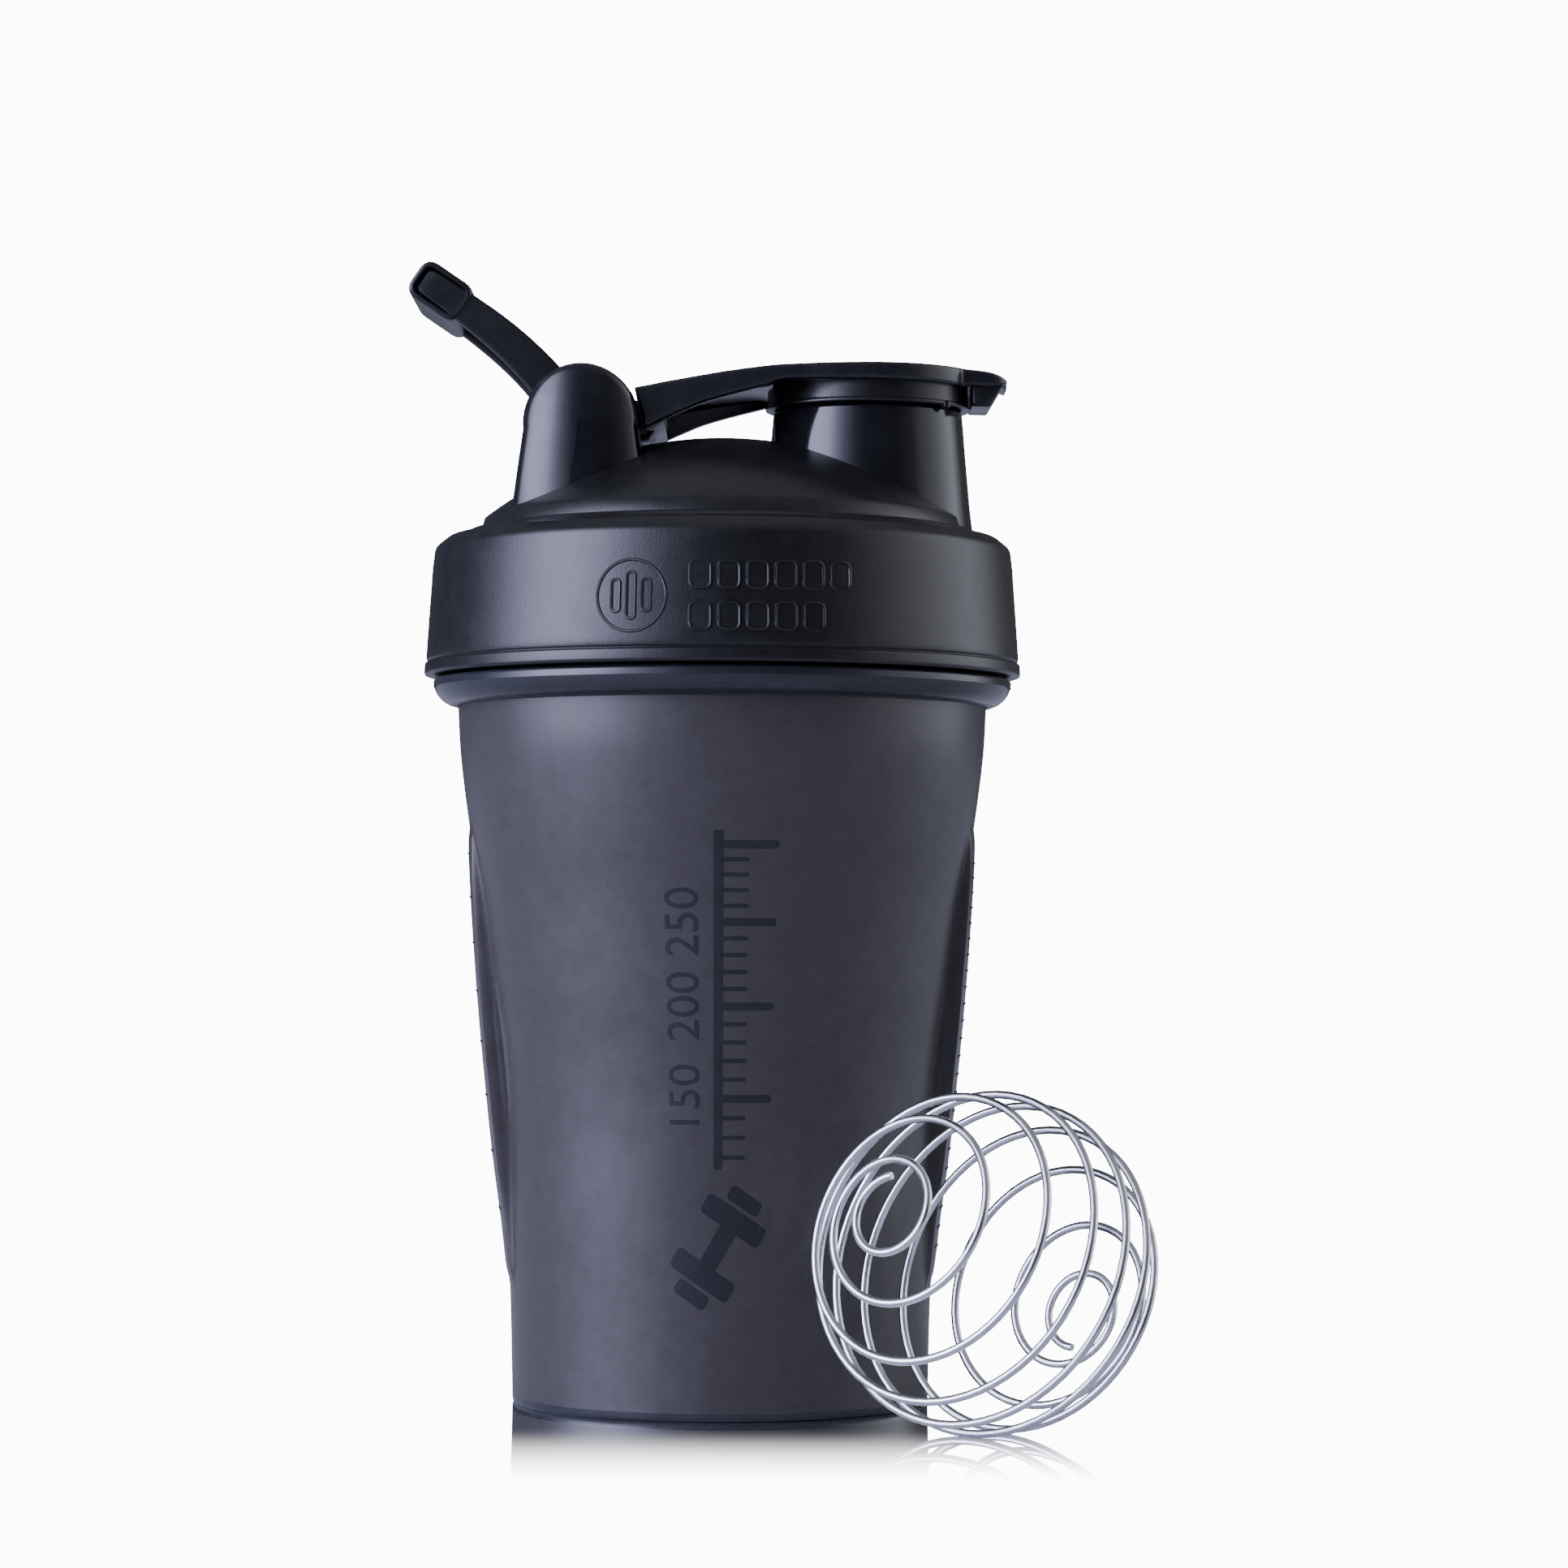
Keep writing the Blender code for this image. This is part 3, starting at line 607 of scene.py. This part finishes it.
def collar_faces(cup, gloss):
    """The collar, the neck and the foot are polished where the wall is satin."""
    cup.data.materials.append(gloss)
    for face in cup.data.polygons:
        height = face.center.z / MM
        if height > 110.4 or height < 1.2:
            face.material_index = 1


def make_scale(materials):
    """Raised graduations on the two grip panels, in millilitres and in fluid ounces."""
    heights, volumes = volume_table()
    for side, unit, major, name in ((1, 10.0, 5, "millilitre"), (-1, 29.57, 2, "ounce")):
        shapes = []
        for step in range(1, 60):
            height = float(np.interp(unit * step, volumes, heights))
            if not 23.0 < height < 87.0:
                continue
            reach = 4.6 if step % major == 0 else 2.2
            points = [panel_point(side, y, height, -0.06) for y in np.linspace(-6.4, reach - 2.4, 9)]
            shapes.append(tube(points, 0.22, 8))
        piece(f"{name}_marks", *merged(*shapes), materials["cup"], "cup", "smoky_plastic")


def panel_point(side, y, height, proud):
    """A point on a grip panel's face."""
    radius = cup_radius(height) + panel_rise(y, height) + proud
    angle = math.asin(y / max(radius, 33.0))
    return (side * radius * math.cos(angle), radius * math.sin(angle), height)


# ---------------------------------------------------------------- printed and raised marks

def sliced(bm, step):
    """Cuts a flat shape in the XZ plane into strips, so that it can bend round the cup."""
    xs = [vert.co.x for vert in bm.verts]
    zs = [vert.co.z for vert in bm.verts]
    for axis, low, high in ((0, min(xs), max(xs)), (2, min(zs), max(zs))):
        normal = Vector((1.0, 0.0, 0.0)) if axis == 0 else Vector((0.0, 0.0, 1.0))
        for place in np.arange(low + step / 2.0, high, step):
            geom = bm.verts[:] + bm.edges[:] + bm.faces[:]
            bmesh.ops.bisect_plane(bm, geom=geom, plane_co=normal * float(place), plane_no=normal)


def flat_shape(outlines):
    """A bmesh of flat polygons from outlines of (x, z)."""
    bm = bmesh.new()
    for outline in outlines:
        bm.faces.new([bm.verts.new((x, 0.0, z)) for x, z in outline])
    bmesh.ops.triangulate(bm, faces=bm.faces)
    return bm


def numeral_shape(text, size, x, z, turn):
    """A bmesh of a number, its middle at x and z, turned by degrees in the XZ plane."""
    curve = bpy.data.curves.new("number", "FONT")
    curve.body = text
    curve.size = size
    curve.align_x = "CENTER"
    curve.align_y = "CENTER"
    curve.resolution_u = 6
    obj = bpy.data.objects.new("number", curve)
    bpy.context.scene.collection.objects.link(obj)
    graph = bpy.context.evaluated_depsgraph_get()
    bm = bmesh.new()
    bm.from_mesh(bpy.data.meshes.new_from_object(obj.evaluated_get(graph)))
    bpy.data.objects.remove(obj, do_unlink=True)
    bm.transform(Matrix.Translation((x, 0.0, z)) @ Matrix.Rotation(math.radians(-turn), 4, "Y")
                 @ Matrix.Rotation(math.radians(90.0), 4, "X"))
    bmesh.ops.triangulate(bm, faces=bm.faces)
    return bm


def wrap_on(bm, name, surface, thickness, material, body, slot, nodes=()):
    """Bends a flat shape on to a surface, gives it thickness and makes it a piece."""
    sliced(bm, 1.0)
    bmesh.ops.remove_doubles(bm, verts=bm.verts, dist=0.0005)
    verts = list(bm.verts)
    index = {vert: number for number, vert in enumerate(verts)}
    points = [surface(vert.co.x, vert.co.z, thickness) for vert in verts]
    points += [surface(vert.co.x, vert.co.z, -0.15) for vert in verts]
    count = len(verts)
    sides = []
    for edge in bm.edges:
        if len(edge.link_faces) == 1:
            first, second = index[edge.verts[0]], index[edge.verts[1]]
            sides.append((first, second, second + count, first + count))
    tops = [tuple(index[vert] for vert in face.verts) for face in bm.faces]
    bottoms = [tuple(index[vert] + count for vert in reversed(face.verts)) for face in bm.faces]
    bm.free()
    return piece(name, points, tops + bottoms + sides, material, body, slot, nodes, 40.0)


def front_of_cup(x, height, proud):
    """A point on the front of the cup, x measured along the wall."""
    radius = cup_radius(height)
    angle = x / 37.0
    return ((radius + proud) * math.sin(angle), -(radius + proud) * math.cos(angle), height)


def front_of_lid(x, height, proud):
    """A point on the front of the lid's skirt, x measured along the wall."""
    radius = skirt_radius(height) + proud
    angle = x / 46.6
    return (radius * math.sin(angle), -radius * math.cos(angle), height)


def skirt_radius(height):
    """The skirt's outer radius."""
    return 47.1 + (46.0 - 47.1) * (height - 117.5) / (133.2 - 117.5)


def pill(x0, x1, z0, z1, radius, count=6):
    """A rectangle with round corners."""
    points = [(x0, z0, radius), (x1, z0, radius), (x1, z1, radius), (x0, z1, radius)]
    return rounded(points, closed=True, segments=count)


def volume_table():
    """Heights in millimetres and the volume of the cup up to each in millilitres."""
    heights = np.linspace(FLOOR_Z, 112.0, 600)
    areas = np.array([math.pi * (cup_radius(height) - WALL) ** 2 for height in heights])
    slices = np.diff(heights) * (areas[1:] + areas[:-1]) / 2.0
    return heights, np.concatenate([[0.0], np.cumsum(slices)]) / 1000.0


def make_print(materials):
    """A plain measuring scale that reads the cup's true volume, and a dumb-bell sign, printed in dark ink."""
    heights, volumes = volume_table()
    shapes = [pill(-0.9, 0.5, 38.5, 90.0, 0.5)]
    for volume in range(100, 310, 10):
        height = float(np.interp(volume, volumes, heights))
        if not 39.5 < height < 89.5:
            continue
        reach, half = (8.4, 0.6) if volume % 50 == 0 else (4.2, 0.32)
        shapes.append(pill(0.2, reach, height - half, height + half, half * 0.9))
    bm = flat_shape(shapes)
    wrap_on(bm, "printed_scale", front_of_cup, 0.05, materials["ink"], "cup", "black_plastic")
    for volume in (150, 200, 250):
        height = float(np.interp(volume, volumes, heights))
        bm = numeral_shape(str(volume), 7.2, -5.4, height, 90.0)
        wrap_on(bm, f"printed_number_{volume}", front_of_cup, 0.05, materials["ink"], "cup", "black_plastic")
    turn = math.radians(58.0)
    sign = []
    for x0, x1, half in ((-9.6, -7.2, 3.0), (-6.6, -3.2, 5.6), (-3.2, 3.2, 1.5), (3.2, 6.6, 5.6), (7.2, 9.6, 3.0)):
        outline = pill(x0, x1, -half, half, 0.9 if x0 != -3.2 else 0.0)
        sign.append([(x * math.cos(turn) - z * math.sin(turn) - 0.2, x * math.sin(turn) + z * math.cos(turn) + 26.6)
                     for x, z in outline])
    bm = flat_shape(sign)
    wrap_on(bm, "printed_dumb_bell", front_of_cup, 0.05, materials["ink"], "cup", "black_plastic")


def make_raised_marks(materials):
    """Raised outlines on the skirt: a ring with three bars, and two rows of rounded outlines."""
    shapes = []

    def raised_outline(outline):
        path = [front_of_lid(x, z, 0.02) for x, z in outline]
        shapes.append(tube(path + path[:2], 0.24, 8, caps=False))

    raised_outline(arc((-13.6, 124.9), 5.4, 0.0, 360.0, 48)[:-1])
    for offset in (-2.4, 0.0, 2.4):
        reach = 3.5 - abs(offset) * 0.45
        raised_outline(pill(-13.6 + offset - 0.65, -13.6 + offset + 0.65, 124.9 - reach, 124.9 + reach, 0.62))
    for count, level in ((6, 128.0), (5, 121.8)):
        for number in range(count):
            left = -4.6 + number * 4.3
            raised_outline(pill(left, left + 3.2, level - 2.1, level + 2.1, 1.2))
    piece("skirt_raised_marks", *merged(*shapes), materials["satin"], "lid", "black_plastic")


# ---------------------------------------------------------------- lid

def dome_arc(radius, edge, count):
    """The dome's outline from its top to a radius."""
    end = math.degrees(math.acos(edge / radius))
    points = arc((0.0, DOME_TOP - DOME_RADIUS), radius, 90.0, end, count)
    return [(0.0, points[0][1]), *points[1:]]


def make_lid(materials):
    """Skirt and dome as one turned shell, with its thread, spout and hinge towers."""
    outer = dome_arc(DOME_RADIUS, 37.9, 30)
    outer += rounded([(37.9, 139.6), (38.4, 138.2, 0.4), (40.2, 138.0, 0.5), (41.0, 137.5, 0.8), (43.6, 136.9, 1.6),
                      (45.7, 135.2, 1.8), (skirt_radius(132.0), 132.0)], segments=6)[1:]
    outer += [(skirt_radius(height), height) for height in np.linspace(130.0, 119.0, 9)]
    outer += rounded([(skirt_radius(118.2), 118.2), (47.0, 117.5, 0.3), (46.75, 117.15, 0.2),
                      (SKIRT_RADIUS - 0.1, 116.95, 0.3), (SKIRT_RADIUS, SKIRT_BOTTOM, 0.5),
                      (LID_BORE + 0.1, SKIRT_BOTTOM, 0.3), (LID_BORE, 116.0)], segments=4)
    inner = rounded([(LID_BORE, 117.0), (LID_BORE, ROOF_Z, 1.4), (SEAL_WALL_OUTER, ROOF_Z, 0.3),
                     (SEAL_WALL_OUTER, SEAL_WALL_END, 0.5), (SEAL_WALL_INNER, SEAL_WALL_END, 0.5),
                     (SEAL_WALL_INNER, 137.6, 0.8), (35.9, 139.0, 0.8)], segments=4)
    inner += list(reversed(dome_arc(DOME_RADIUS - 2.0, 35.2, 24)))
    lid = mesh_object("lid_shell", lathe(outer + inner))
    spout_hole = lathe([(0.0, 165.0), (SPOUT_BORE, 165.0), (SPOUT_BORE, 136.9), (0.0, 136.9)], 96,
                       (SPOUT_X, 0.0))
    cut(lid, mesh_object("spout_hole", spout_hole))
    dress(lid, materials["satin"], "lid", ("lid",), 40.0)

    ridges = []
    for start in range(2):
        angle = math.pi * (start - 0.5) - 2.0 * math.pi * (CUP_THREAD_START - LID_THREAD_START) / LEAD
        ridges.append(thread_ridge(LID_BORE + 0.2, 42.0, LID_THREAD_START, 0.9, angle))
    piece("lid_thread", *merged(*ridges), materials["half"], "lid", "black_plastic", ("lid",))
    make_spout(materials)
    for side in (-1.0, 1.0):
        make_tower(side, materials)


def make_spout(materials):
    """The drinking spout: a slightly flared tube with a rolled lip."""
    outline = rounded([(SPOUT_BORE, 137.9), (SPOUT_BORE, SPOUT_TOP, 0.7), (14.2, SPOUT_TOP, 0.7), (14.2, 157.4, 0.3),
                       (15.0, 156.9, 0.4), (15.75, 148.0), (16.3, 142.0), (16.7, 138.6), (15.0, 137.9, 0.3)],
                      closed=True, segments=5)
    piece("drinking_spout", *lathe(outline, 144, (SPOUT_X, 0.0), closed=True), materials["gloss"], "lid",
          "black_plastic", ("lid",), 35.0)


def tower_outline(inset):
    """The side view of a hinge tower, drawn in by a distance."""
    flare = math.radians(7.0)
    drop = PIVOT[1] - 138.6
    half_base = TOWER_RADIUS / math.cos(flare) + drop * math.tan(flare) - inset
    half_base = max(half_base, 0.05)
    outline = arc(PIVOT, max(TOWER_RADIUS - inset, 0.03), -7.0, 187.0, 40)
    left = outline[-1]
    right = outline[0]
    low_left = (PIVOT[0] - half_base, PIVOT[1] - drop)
    low_right = (PIVOT[0] + half_base, PIVOT[1] - drop)
    down = [(left[0] + (low_left[0] - left[0]) * t, left[1] + (low_left[1] - left[1]) * t)
            for t in np.linspace(0.0, 1.0, 9)[1:]]
    across = [(low_left[0] + (low_right[0] - low_left[0]) * t, low_left[1]) for t in np.linspace(0.0, 1.0, 13)[1:]]
    up = [(low_right[0] + (right[0] - low_right[0]) * t, low_right[1] + (right[1] - low_right[1]) * t)
          for t in np.linspace(0.0, 1.0, 9)[1:-1]]
    return outline + down + across + up


def tower_face(x, z):
    """How far out the tower's pillowed outer face stands."""
    heights, radii = zip(*TOWER_ROUND)
    radius = float(np.interp(z, heights, radii))
    across = min(abs(x - TOWER_ROUND_CENTRE[0]), radius * 0.98)
    return TOWER_ROUND_CENTRE[1] + math.sqrt(radius * radius - across * across)


def make_tower(side, materials):
    """A hinge tower: round top, pillowed outer face with a rounded rim, and a blind bore inside."""
    rings = []
    for inset, y in ((4.0, TOWER_INNER), (0.45, TOWER_INNER), (0.15, TOWER_INNER + 0.12), (0.0, TOWER_INNER + 0.4)):
        rings.append([(x, side * y, z) for x, z in tower_outline(inset)])
    insets = [TOWER_RIM * (1.0 - math.cos(math.radians(angle))) for angle in np.linspace(0.0, 90.0, 8)]
    insets += list(np.linspace(TOWER_RIM, TOWER_RADIUS - 0.1, 24)[1:])
    for inset in insets:
        part = max(0.0, 1.0 - inset / TOWER_RIM)
        rim = TOWER_RIM * 1.25 * (1.0 - math.sqrt(1.0 - part * part))
        rings.append([(x, side * max(tower_face(x, z) - rim, TOWER_INNER + 0.5), z) for x, z in tower_outline(inset)])
    tower = mesh_object(f"hinge_tower_{'front' if side < 0 else 'back'}", loft(rings))
    near, far = sorted((side * (TOWER_INNER - 2.0), side * (PIN_END + 0.3)))
    bore = mesh_object("pivot_bore", prism(arc(PIVOT, PIN_BORE, 0.0, 352.5, 47), near, far, 0.05, 1))
    cut(tower, bore)
    dress(tower, materials["gloss"], "lid", ("lid",), 38.0)


def make_seals(materials):
    """The lid's gasket and the spout's plug ring."""
    low, high = RIM_Z + 0.3, ROOF_Z - 0.3
    ring = rounded([(38.7, low, 0.4), (41.8, low, 0.4), (41.8, high, 0.4), (38.7, high, 0.4)], True, 4)
    piece("lid_gasket", *lathe(ring, 144, closed=True), materials["seal"], "lid_seal", "soft_seal", ("lid_seal",))
    low, high = PLUG_BOTTOM + 1.5, HEAD_UNDERSIDE - 0.4
    ring = rounded([(10.9, low, 0.2), (11.7, low, 0.5), (12.2, high - 1.0, 0.6), (12.2, high, 0.2),
                    (10.9, high, 0.2)], True, 4)
    piece("spout_plug_ring", *lathe(ring, 96, (SPOUT_X, 0.0), closed=True), materials["seal"], "flip_cap",
          "soft_seal", ("spout_seal",))


# ---------------------------------------------------------------- flip cap

CAP_STATIONS = [
    # top X, top Z, bottom X, bottom Z, half width, depth of the hollow underside
    (-13.8, 159.45, -12.0, 153.0, 17.0, 0.0),
    (-12.0, 159.8, -10.7, 153.6, 17.0, 0.0),
    (-10.2, 160.15, -9.1, 154.4, 17.0, 0.05),
    (-9.6, 160.3, -8.7, 154.6, 17.0, 3.7),
    (-6.5, 160.85, -6.0, 155.8, 17.0, 3.1),
    (-3.5, 161.4, -3.3, 156.9, 17.0, 2.5),
    (0.6, 162.1, 0.7, 158.1, 17.0, 1.9),
    (5.3, 162.75, 5.2, 159.25, 17.0, 1.3),
    (7.4, 163.0, 7.3, 159.8, 17.0, 0.6),
    (8.2, 163.08, 8.1, 160.2, 17.0, 0.0),
    (10.0, 163.2, 10.0, 160.6, 17.0, 0.0),
    (15.5, 163.45, 15.5, 160.7, 17.0, 0.0),
    (19.5, 163.55, 19.5, 160.7, 17.0, 0.0),
    (23.3, 163.6, 23.3, 160.7, 17.0, 0.0),
]


def cap_front_stations():
    """Stations round the head and out along the thumb tab."""
    stations = []
    for angle in np.linspace(8.0, 60.0, 13):
        x = SPOUT_X + 17.0 * math.sin(math.radians(angle))
        width = 17.0 * math.cos(math.radians(angle))
        stations.append((x, 163.6, x, HEAD_UNDERSIDE, width, 0.0))
    stations += [
        (38.7, 163.5, 38.7, 160.7, 8.2, 0.0),
        (40.0, 163.4, 40.0, 160.7, 8.05, 0.0),
        (41.6, 163.2, 41.6, 160.7, 7.85, 0.0),
        (42.8, 162.95, 42.8, 160.75, 7.55, 0.0),
        (43.8, 162.6, 43.8, 160.9, 7.1, 0.0),
        (44.4, 162.3, 44.4, 161.1, 6.5, 0.0),
        (44.8, 162.0, 44.8, 161.4, 5.8, 0.0),
    ]
    return stations


def cap_section(half_width, thickness, hollow, radius):
    """Section across the cap as (Y, height above the underside), with a hollow underside where asked."""
    top_radius = min(radius, thickness * 0.4)
    low_radius = min(0.5, thickness * 0.25)
    rail = min(2.4, half_width * 0.3)
    crown = 0.15
    right = []
    for part in np.linspace(0.0, 1.0, 7)[:-1]:
        y = part * (half_width - top_radius)
        right.append((y, thickness - crown * (y / half_width) ** 2))
    right += [(half_width - top_radius + top_radius * math.sin(a),
               thickness - crown - top_radius + top_radius * math.cos(a)) for a in np.radians(np.linspace(0, 90, 6))]
    right += [(half_width, low_radius + (thickness - crown - top_radius - low_radius) * t) for t in (0.66, 0.33)]
    right += [(half_width - low_radius + low_radius * math.cos(a), low_radius - low_radius * math.sin(a))
              for a in np.radians(np.linspace(0, 90, 5))]
    right += [(half_width - rail, 0.0), (half_width - rail - 0.05, hollow * 0.12),
              (half_width - rail - 0.35, hollow * 0.94), (half_width - rail - 0.8, hollow)]
    right += [(part * (half_width - rail - 0.8), hollow) for part in (0.66, 0.33, 0.0)]
    left = [(-y, height) for y, height in reversed(right[1:-1])]
    return right + left


def make_flip_cap(materials):
    """The flip cap: arm, head, thumb tab, grained drum, plug, tongue, hub and trunnions."""
    stations = spline(CAP_STATIONS + cap_front_stations(), 4)
    rings = []
    for number, (top_x, top_z, low_x, low_z, half_width, hollow) in enumerate(stations):
        top, low = Vector((top_x, top_z)), Vector((low_x, low_z))
        thickness = (top - low).length
        up = (top - low).normalized()
        hollow = min(max(hollow, 0.0), thickness - 1.6)
        bulge = 0.55 * max(0.0, 1.0 - number / 10.0)
        ring = []
        for y, height in cap_section(half_width, thickness, hollow, 0.65):
            part = height / thickness
            place = low + up * height
            ring.append((place.x + bulge * 4.0 * part * (1.0 - part), y, place.y))
        rings.append(ring)
    last = rings[-1]
    middle = Vector(tuple(sum(values) / len(last) for values in zip(*last)))
    for shrink, forward in ((0.9, 0.1), (0.75, 0.16), (0.5, 0.18)):
        rings.append([tuple(middle + (Vector(point) - middle) * shrink + Vector((forward, 0.0, 0.0)))
                      for point in last])
    gusset = rounded([(39.2, 161.5), (39.2, 157.65, 0.5), (42.2, 157.6, 0.5), (44.5, 161.5)], True, 5)
    shape = merged(loft(rings), prism(gusset, -6.9, 6.9, 0.6, 4))
    piece("flip_cap_arm", *shape, materials["half"], "flip_cap", "black_plastic", ("flip_cap",), 50.0)

    drum = rounded([(DRUM_RADIUS - 0.15, HEAD_UNDERSIDE + 0.8), (DRUM_RADIUS, 158.1, 0.2),
                    (DRUM_RADIUS + 0.3, 157.9, 0.2), (DRUM_RADIUS + 0.3, 157.4, 0.3), (14.7, 157.4, 0.3),
                    (14.7, HEAD_UNDERSIDE + 0.8)],
                   closed=True, segments=4)
    piece("flip_cap_drum", *lathe(drum, 144, (SPOUT_X, 0.0), closed=True), materials["satin"], "flip_cap",
          "black_plastic", ("flip_cap",))
    plug = rounded([(0.0, HEAD_UNDERSIDE + 0.6), (10.6, HEAD_UNDERSIDE + 0.6), (10.6, PLUG_BOTTOM + 1.2, 0.2),
                    (11.5, PLUG_BOTTOM + 0.9, 0.3), (11.5, PLUG_BOTTOM, 0.5), (9.0, PLUG_BOTTOM, 0.5),
                    (8.6, PLUG_BOTTOM + 2.4, 0.8), (0.0, PLUG_BOTTOM + 2.4)], segments=5)
    piece("flip_cap_plug", *lathe(plug, 96, (SPOUT_X, 0.0)), materials["half"], "flip_cap", "black_plastic",
          ("flip_cap",))

    tongue = arc(PIVOT, HUB_RADIUS, 100.0, 292.0, 24)
    tongue += rounded([(-13.6, 152.3), (-11.8, 152.5, 0.6), (-9.0, 155.4), (-8.6, 158.4, 0.5), (-13.3, 158.3)])
    shape = merged(prism(tongue, -8.1, 8.1, 0.6, 4),
                   prism(arc(PIVOT, PIN_RADIUS, 0.0, 352.5, 47), -PIN_END, PIN_END, 0.5, 3))
    piece("flip_cap_hub", *shape, materials["half"], "flip_cap", "black_plastic", ("flip_cap",))
    nub = tube([(SPOUT_X + 12.0, -10.5, 157.6), (SPOUT_X + 12.0, -10.9, 156.9)], [0.9, 0.55], 16)
    piece("flip_cap_nub", *nub, materials["half"], "flip_cap", "black_plastic")


# ---------------------------------------------------------------- carry loop

def bow(u, v):
    """Bends a point of the straight loop, u along its arms and v across them, to the arms' bow."""
    part = math.pi * min(u, LOOP_BOW_LENGTH) / LOOP_BOW_LENGTH
    slope = -LOOP_BOW * math.pi / LOOP_BOW_LENGTH * math.cos(part)
    middle = -LOOP_BOW * math.sin(part) + slope * max(0.0, u - LOOP_BOW_LENGTH)
    lean = math.atan(slope)
    return u - v * math.sin(lean), middle + v * math.cos(lean)


def loop_point(u, v, y):
    """A point of the loop: u along its arms from the hinge axis, v across them."""
    u, v = bow(u, v)
    return (PIVOT[0] + u * math.cos(LOOP_ANGLE) - v * math.sin(LOOP_ANGLE), y,
            PIVOT[1] + u * math.sin(LOOP_ANGLE) + v * math.cos(LOOP_ANGLE))


def rounded_rectangle(width, height, radius, segments=5):
    """A rounded rectangle about the origin."""
    x, y = width / 2.0, height / 2.0
    return rounded([(-x, -y, radius), (x, -y, radius), (x, y, radius), (-x, y, radius)], True, segments)


def make_crossbar():
    """The crossbar: a rounded block whose ends are rims round a shallow recess."""
    end = ((10.0, 2.2), (10.0, 1.15), (10.15, 1.0), (11.1, 0.92), (11.35, 0.8), (11.4, 0.55), (11.3, 0.3),
           (11.0, 0.1), (10.5, 0.0), (5.0, 0.0), (0.0, 0.0))
    bar = [(-y, inset) for y, inset in end] + [(y, inset) for y, inset in reversed(end[:-1])]
    rings = []
    for y, inset in bar:
        outline = rounded_rectangle(9.4 - 2.0 * inset, 6.6 - 2.0 * inset, max(2.3 - inset, 0.4), 8)
        rings.append([loop_point(LOOP_BAR_CENTRE + u, v, y) for u, v in outline])
    return loft(rings)


def make_arm(side):
    """One arm of the loop, from the hinge into the recess of the crossbar's end."""
    rings = []
    for u in [*np.linspace(-0.5, 33.4, 40), 33.7, 33.95, 34.1]:
        half = float(np.interp(u, [0.0, 8.0, 26.0, 33.0, 33.4, 33.7, 33.95, 34.1],
                               [3.9, 3.05, 2.45, 2.15, 2.05, 1.85, 1.5, 1.1]))
        outer = float(np.interp(u, [0.0, 4.0, 26.0, 33.0, 33.95, 34.1], [11.3, 11.35, 11.2, 11.1, 10.95, 10.7]))
        inner = float(np.interp(u, [0.0, 6.0, 34.1], [8.5, 8.5, 8.7]))
        ring = []
        for v, w in rounded_rectangle(2.0 * half, outer - inner, 0.5, 5):
            dish = 0.22 * max(0.0, 1.0 - (v / (half - 0.45)) ** 4) if w > 0.0 else 0.0
            ring.append(loop_point(u, v, side * ((outer + inner) / 2.0 + w - dish)))
        rings.append(ring)
    return loft(rings)


def make_carry_loop(materials):
    """The carry loop: crossbar, two bowed arms and the eyes on the trunnions."""
    loop = mesh_object("carry_loop_body", make_crossbar())
    for side in (-1.0, 1.0):
        add_to(loop, mesh_object("loop_arm", make_arm(side)))
        low, high = sorted((side * 8.5, side * 11.35))
        add_to(loop, mesh_object("loop_eye", prism(arc(PIVOT, HUB_RADIUS, 0.0, 352.5, 47), low, high, 0.4, 3)))
    bore = prism(arc(PIVOT, PIN_BORE, 0.0, 352.5, 47), -12.5, 12.5, 0.05, 1)
    cut(loop, mesh_object("loop_bore", bore))
    dress(loop, materials["satin"], "carry_loop", ("carry_loop",), 40.0)


def add_to(obj, tool):
    """Joins a tool's shape to an object and removes the tool."""
    boolean = obj.modifiers.new("join", "BOOLEAN")
    boolean.operation = "UNION"
    boolean.solver = "EXACT"
    boolean.object = tool
    graph = bpy.context.evaluated_depsgraph_get()
    mesh = bpy.data.meshes.new_from_object(obj.evaluated_get(graph))
    obj.modifiers.clear()
    obj.data = mesh
    bpy.data.objects.remove(tool, do_unlink=True)


# ---------------------------------------------------------------- mixing ball

def make_ball(materials):
    """One wire wound over a sphere from pole to pole, its ends cut square."""
    upward = (Vector((0.0, 0.0, 1.0)) - BALL_AXIS * BALL_AXIS.z).normalized()
    leftward = BALL_AXIS.cross(upward)
    radius = BALL_RADIUS - WIRE_RADIUS
    end = BALL_TURNS / 2.0
    path = []
    for step in range(int(BALL_TURNS * 64) + 1):
        turn = step / 64.0
        offset = turn - end
        part = offset / end
        polar = math.radians(90.0 + TURN_SPACING * offset * (1.0 + 0.46 * part ** 2 - 0.44 * part ** 6))
        wind = BALL_FIRST_TURN + 2.0 * math.pi * turn
        sideways = upward * math.cos(wind) + leftward * math.sin(wind)
        path.append(BALL_CENTRE + (BALL_AXIS * math.cos(polar) + sideways * math.sin(polar)) * radius)
    sizes = [WIRE_RADIUS] * len(path)
    sizes[0] = sizes[-1] = WIRE_RADIUS * 0.9
    piece("whisk_wire", *tube(path, sizes, 14), materials["steel"], "whisk_ball", "steel_wire", ("whisk_ball",),
          50.0)


# ---------------------------------------------------------------- everything

make_camera()
make_light()
make_floor()
MATERIALS = make_materials()
make_cup(MATERIALS)
make_scale(MATERIALS)
make_print(MATERIALS)
make_lid(MATERIALS)
make_raised_marks(MATERIALS)
make_seals(MATERIALS)
make_flip_cap(MATERIALS)
make_carry_loop(MATERIALS)
make_ball(MATERIALS)
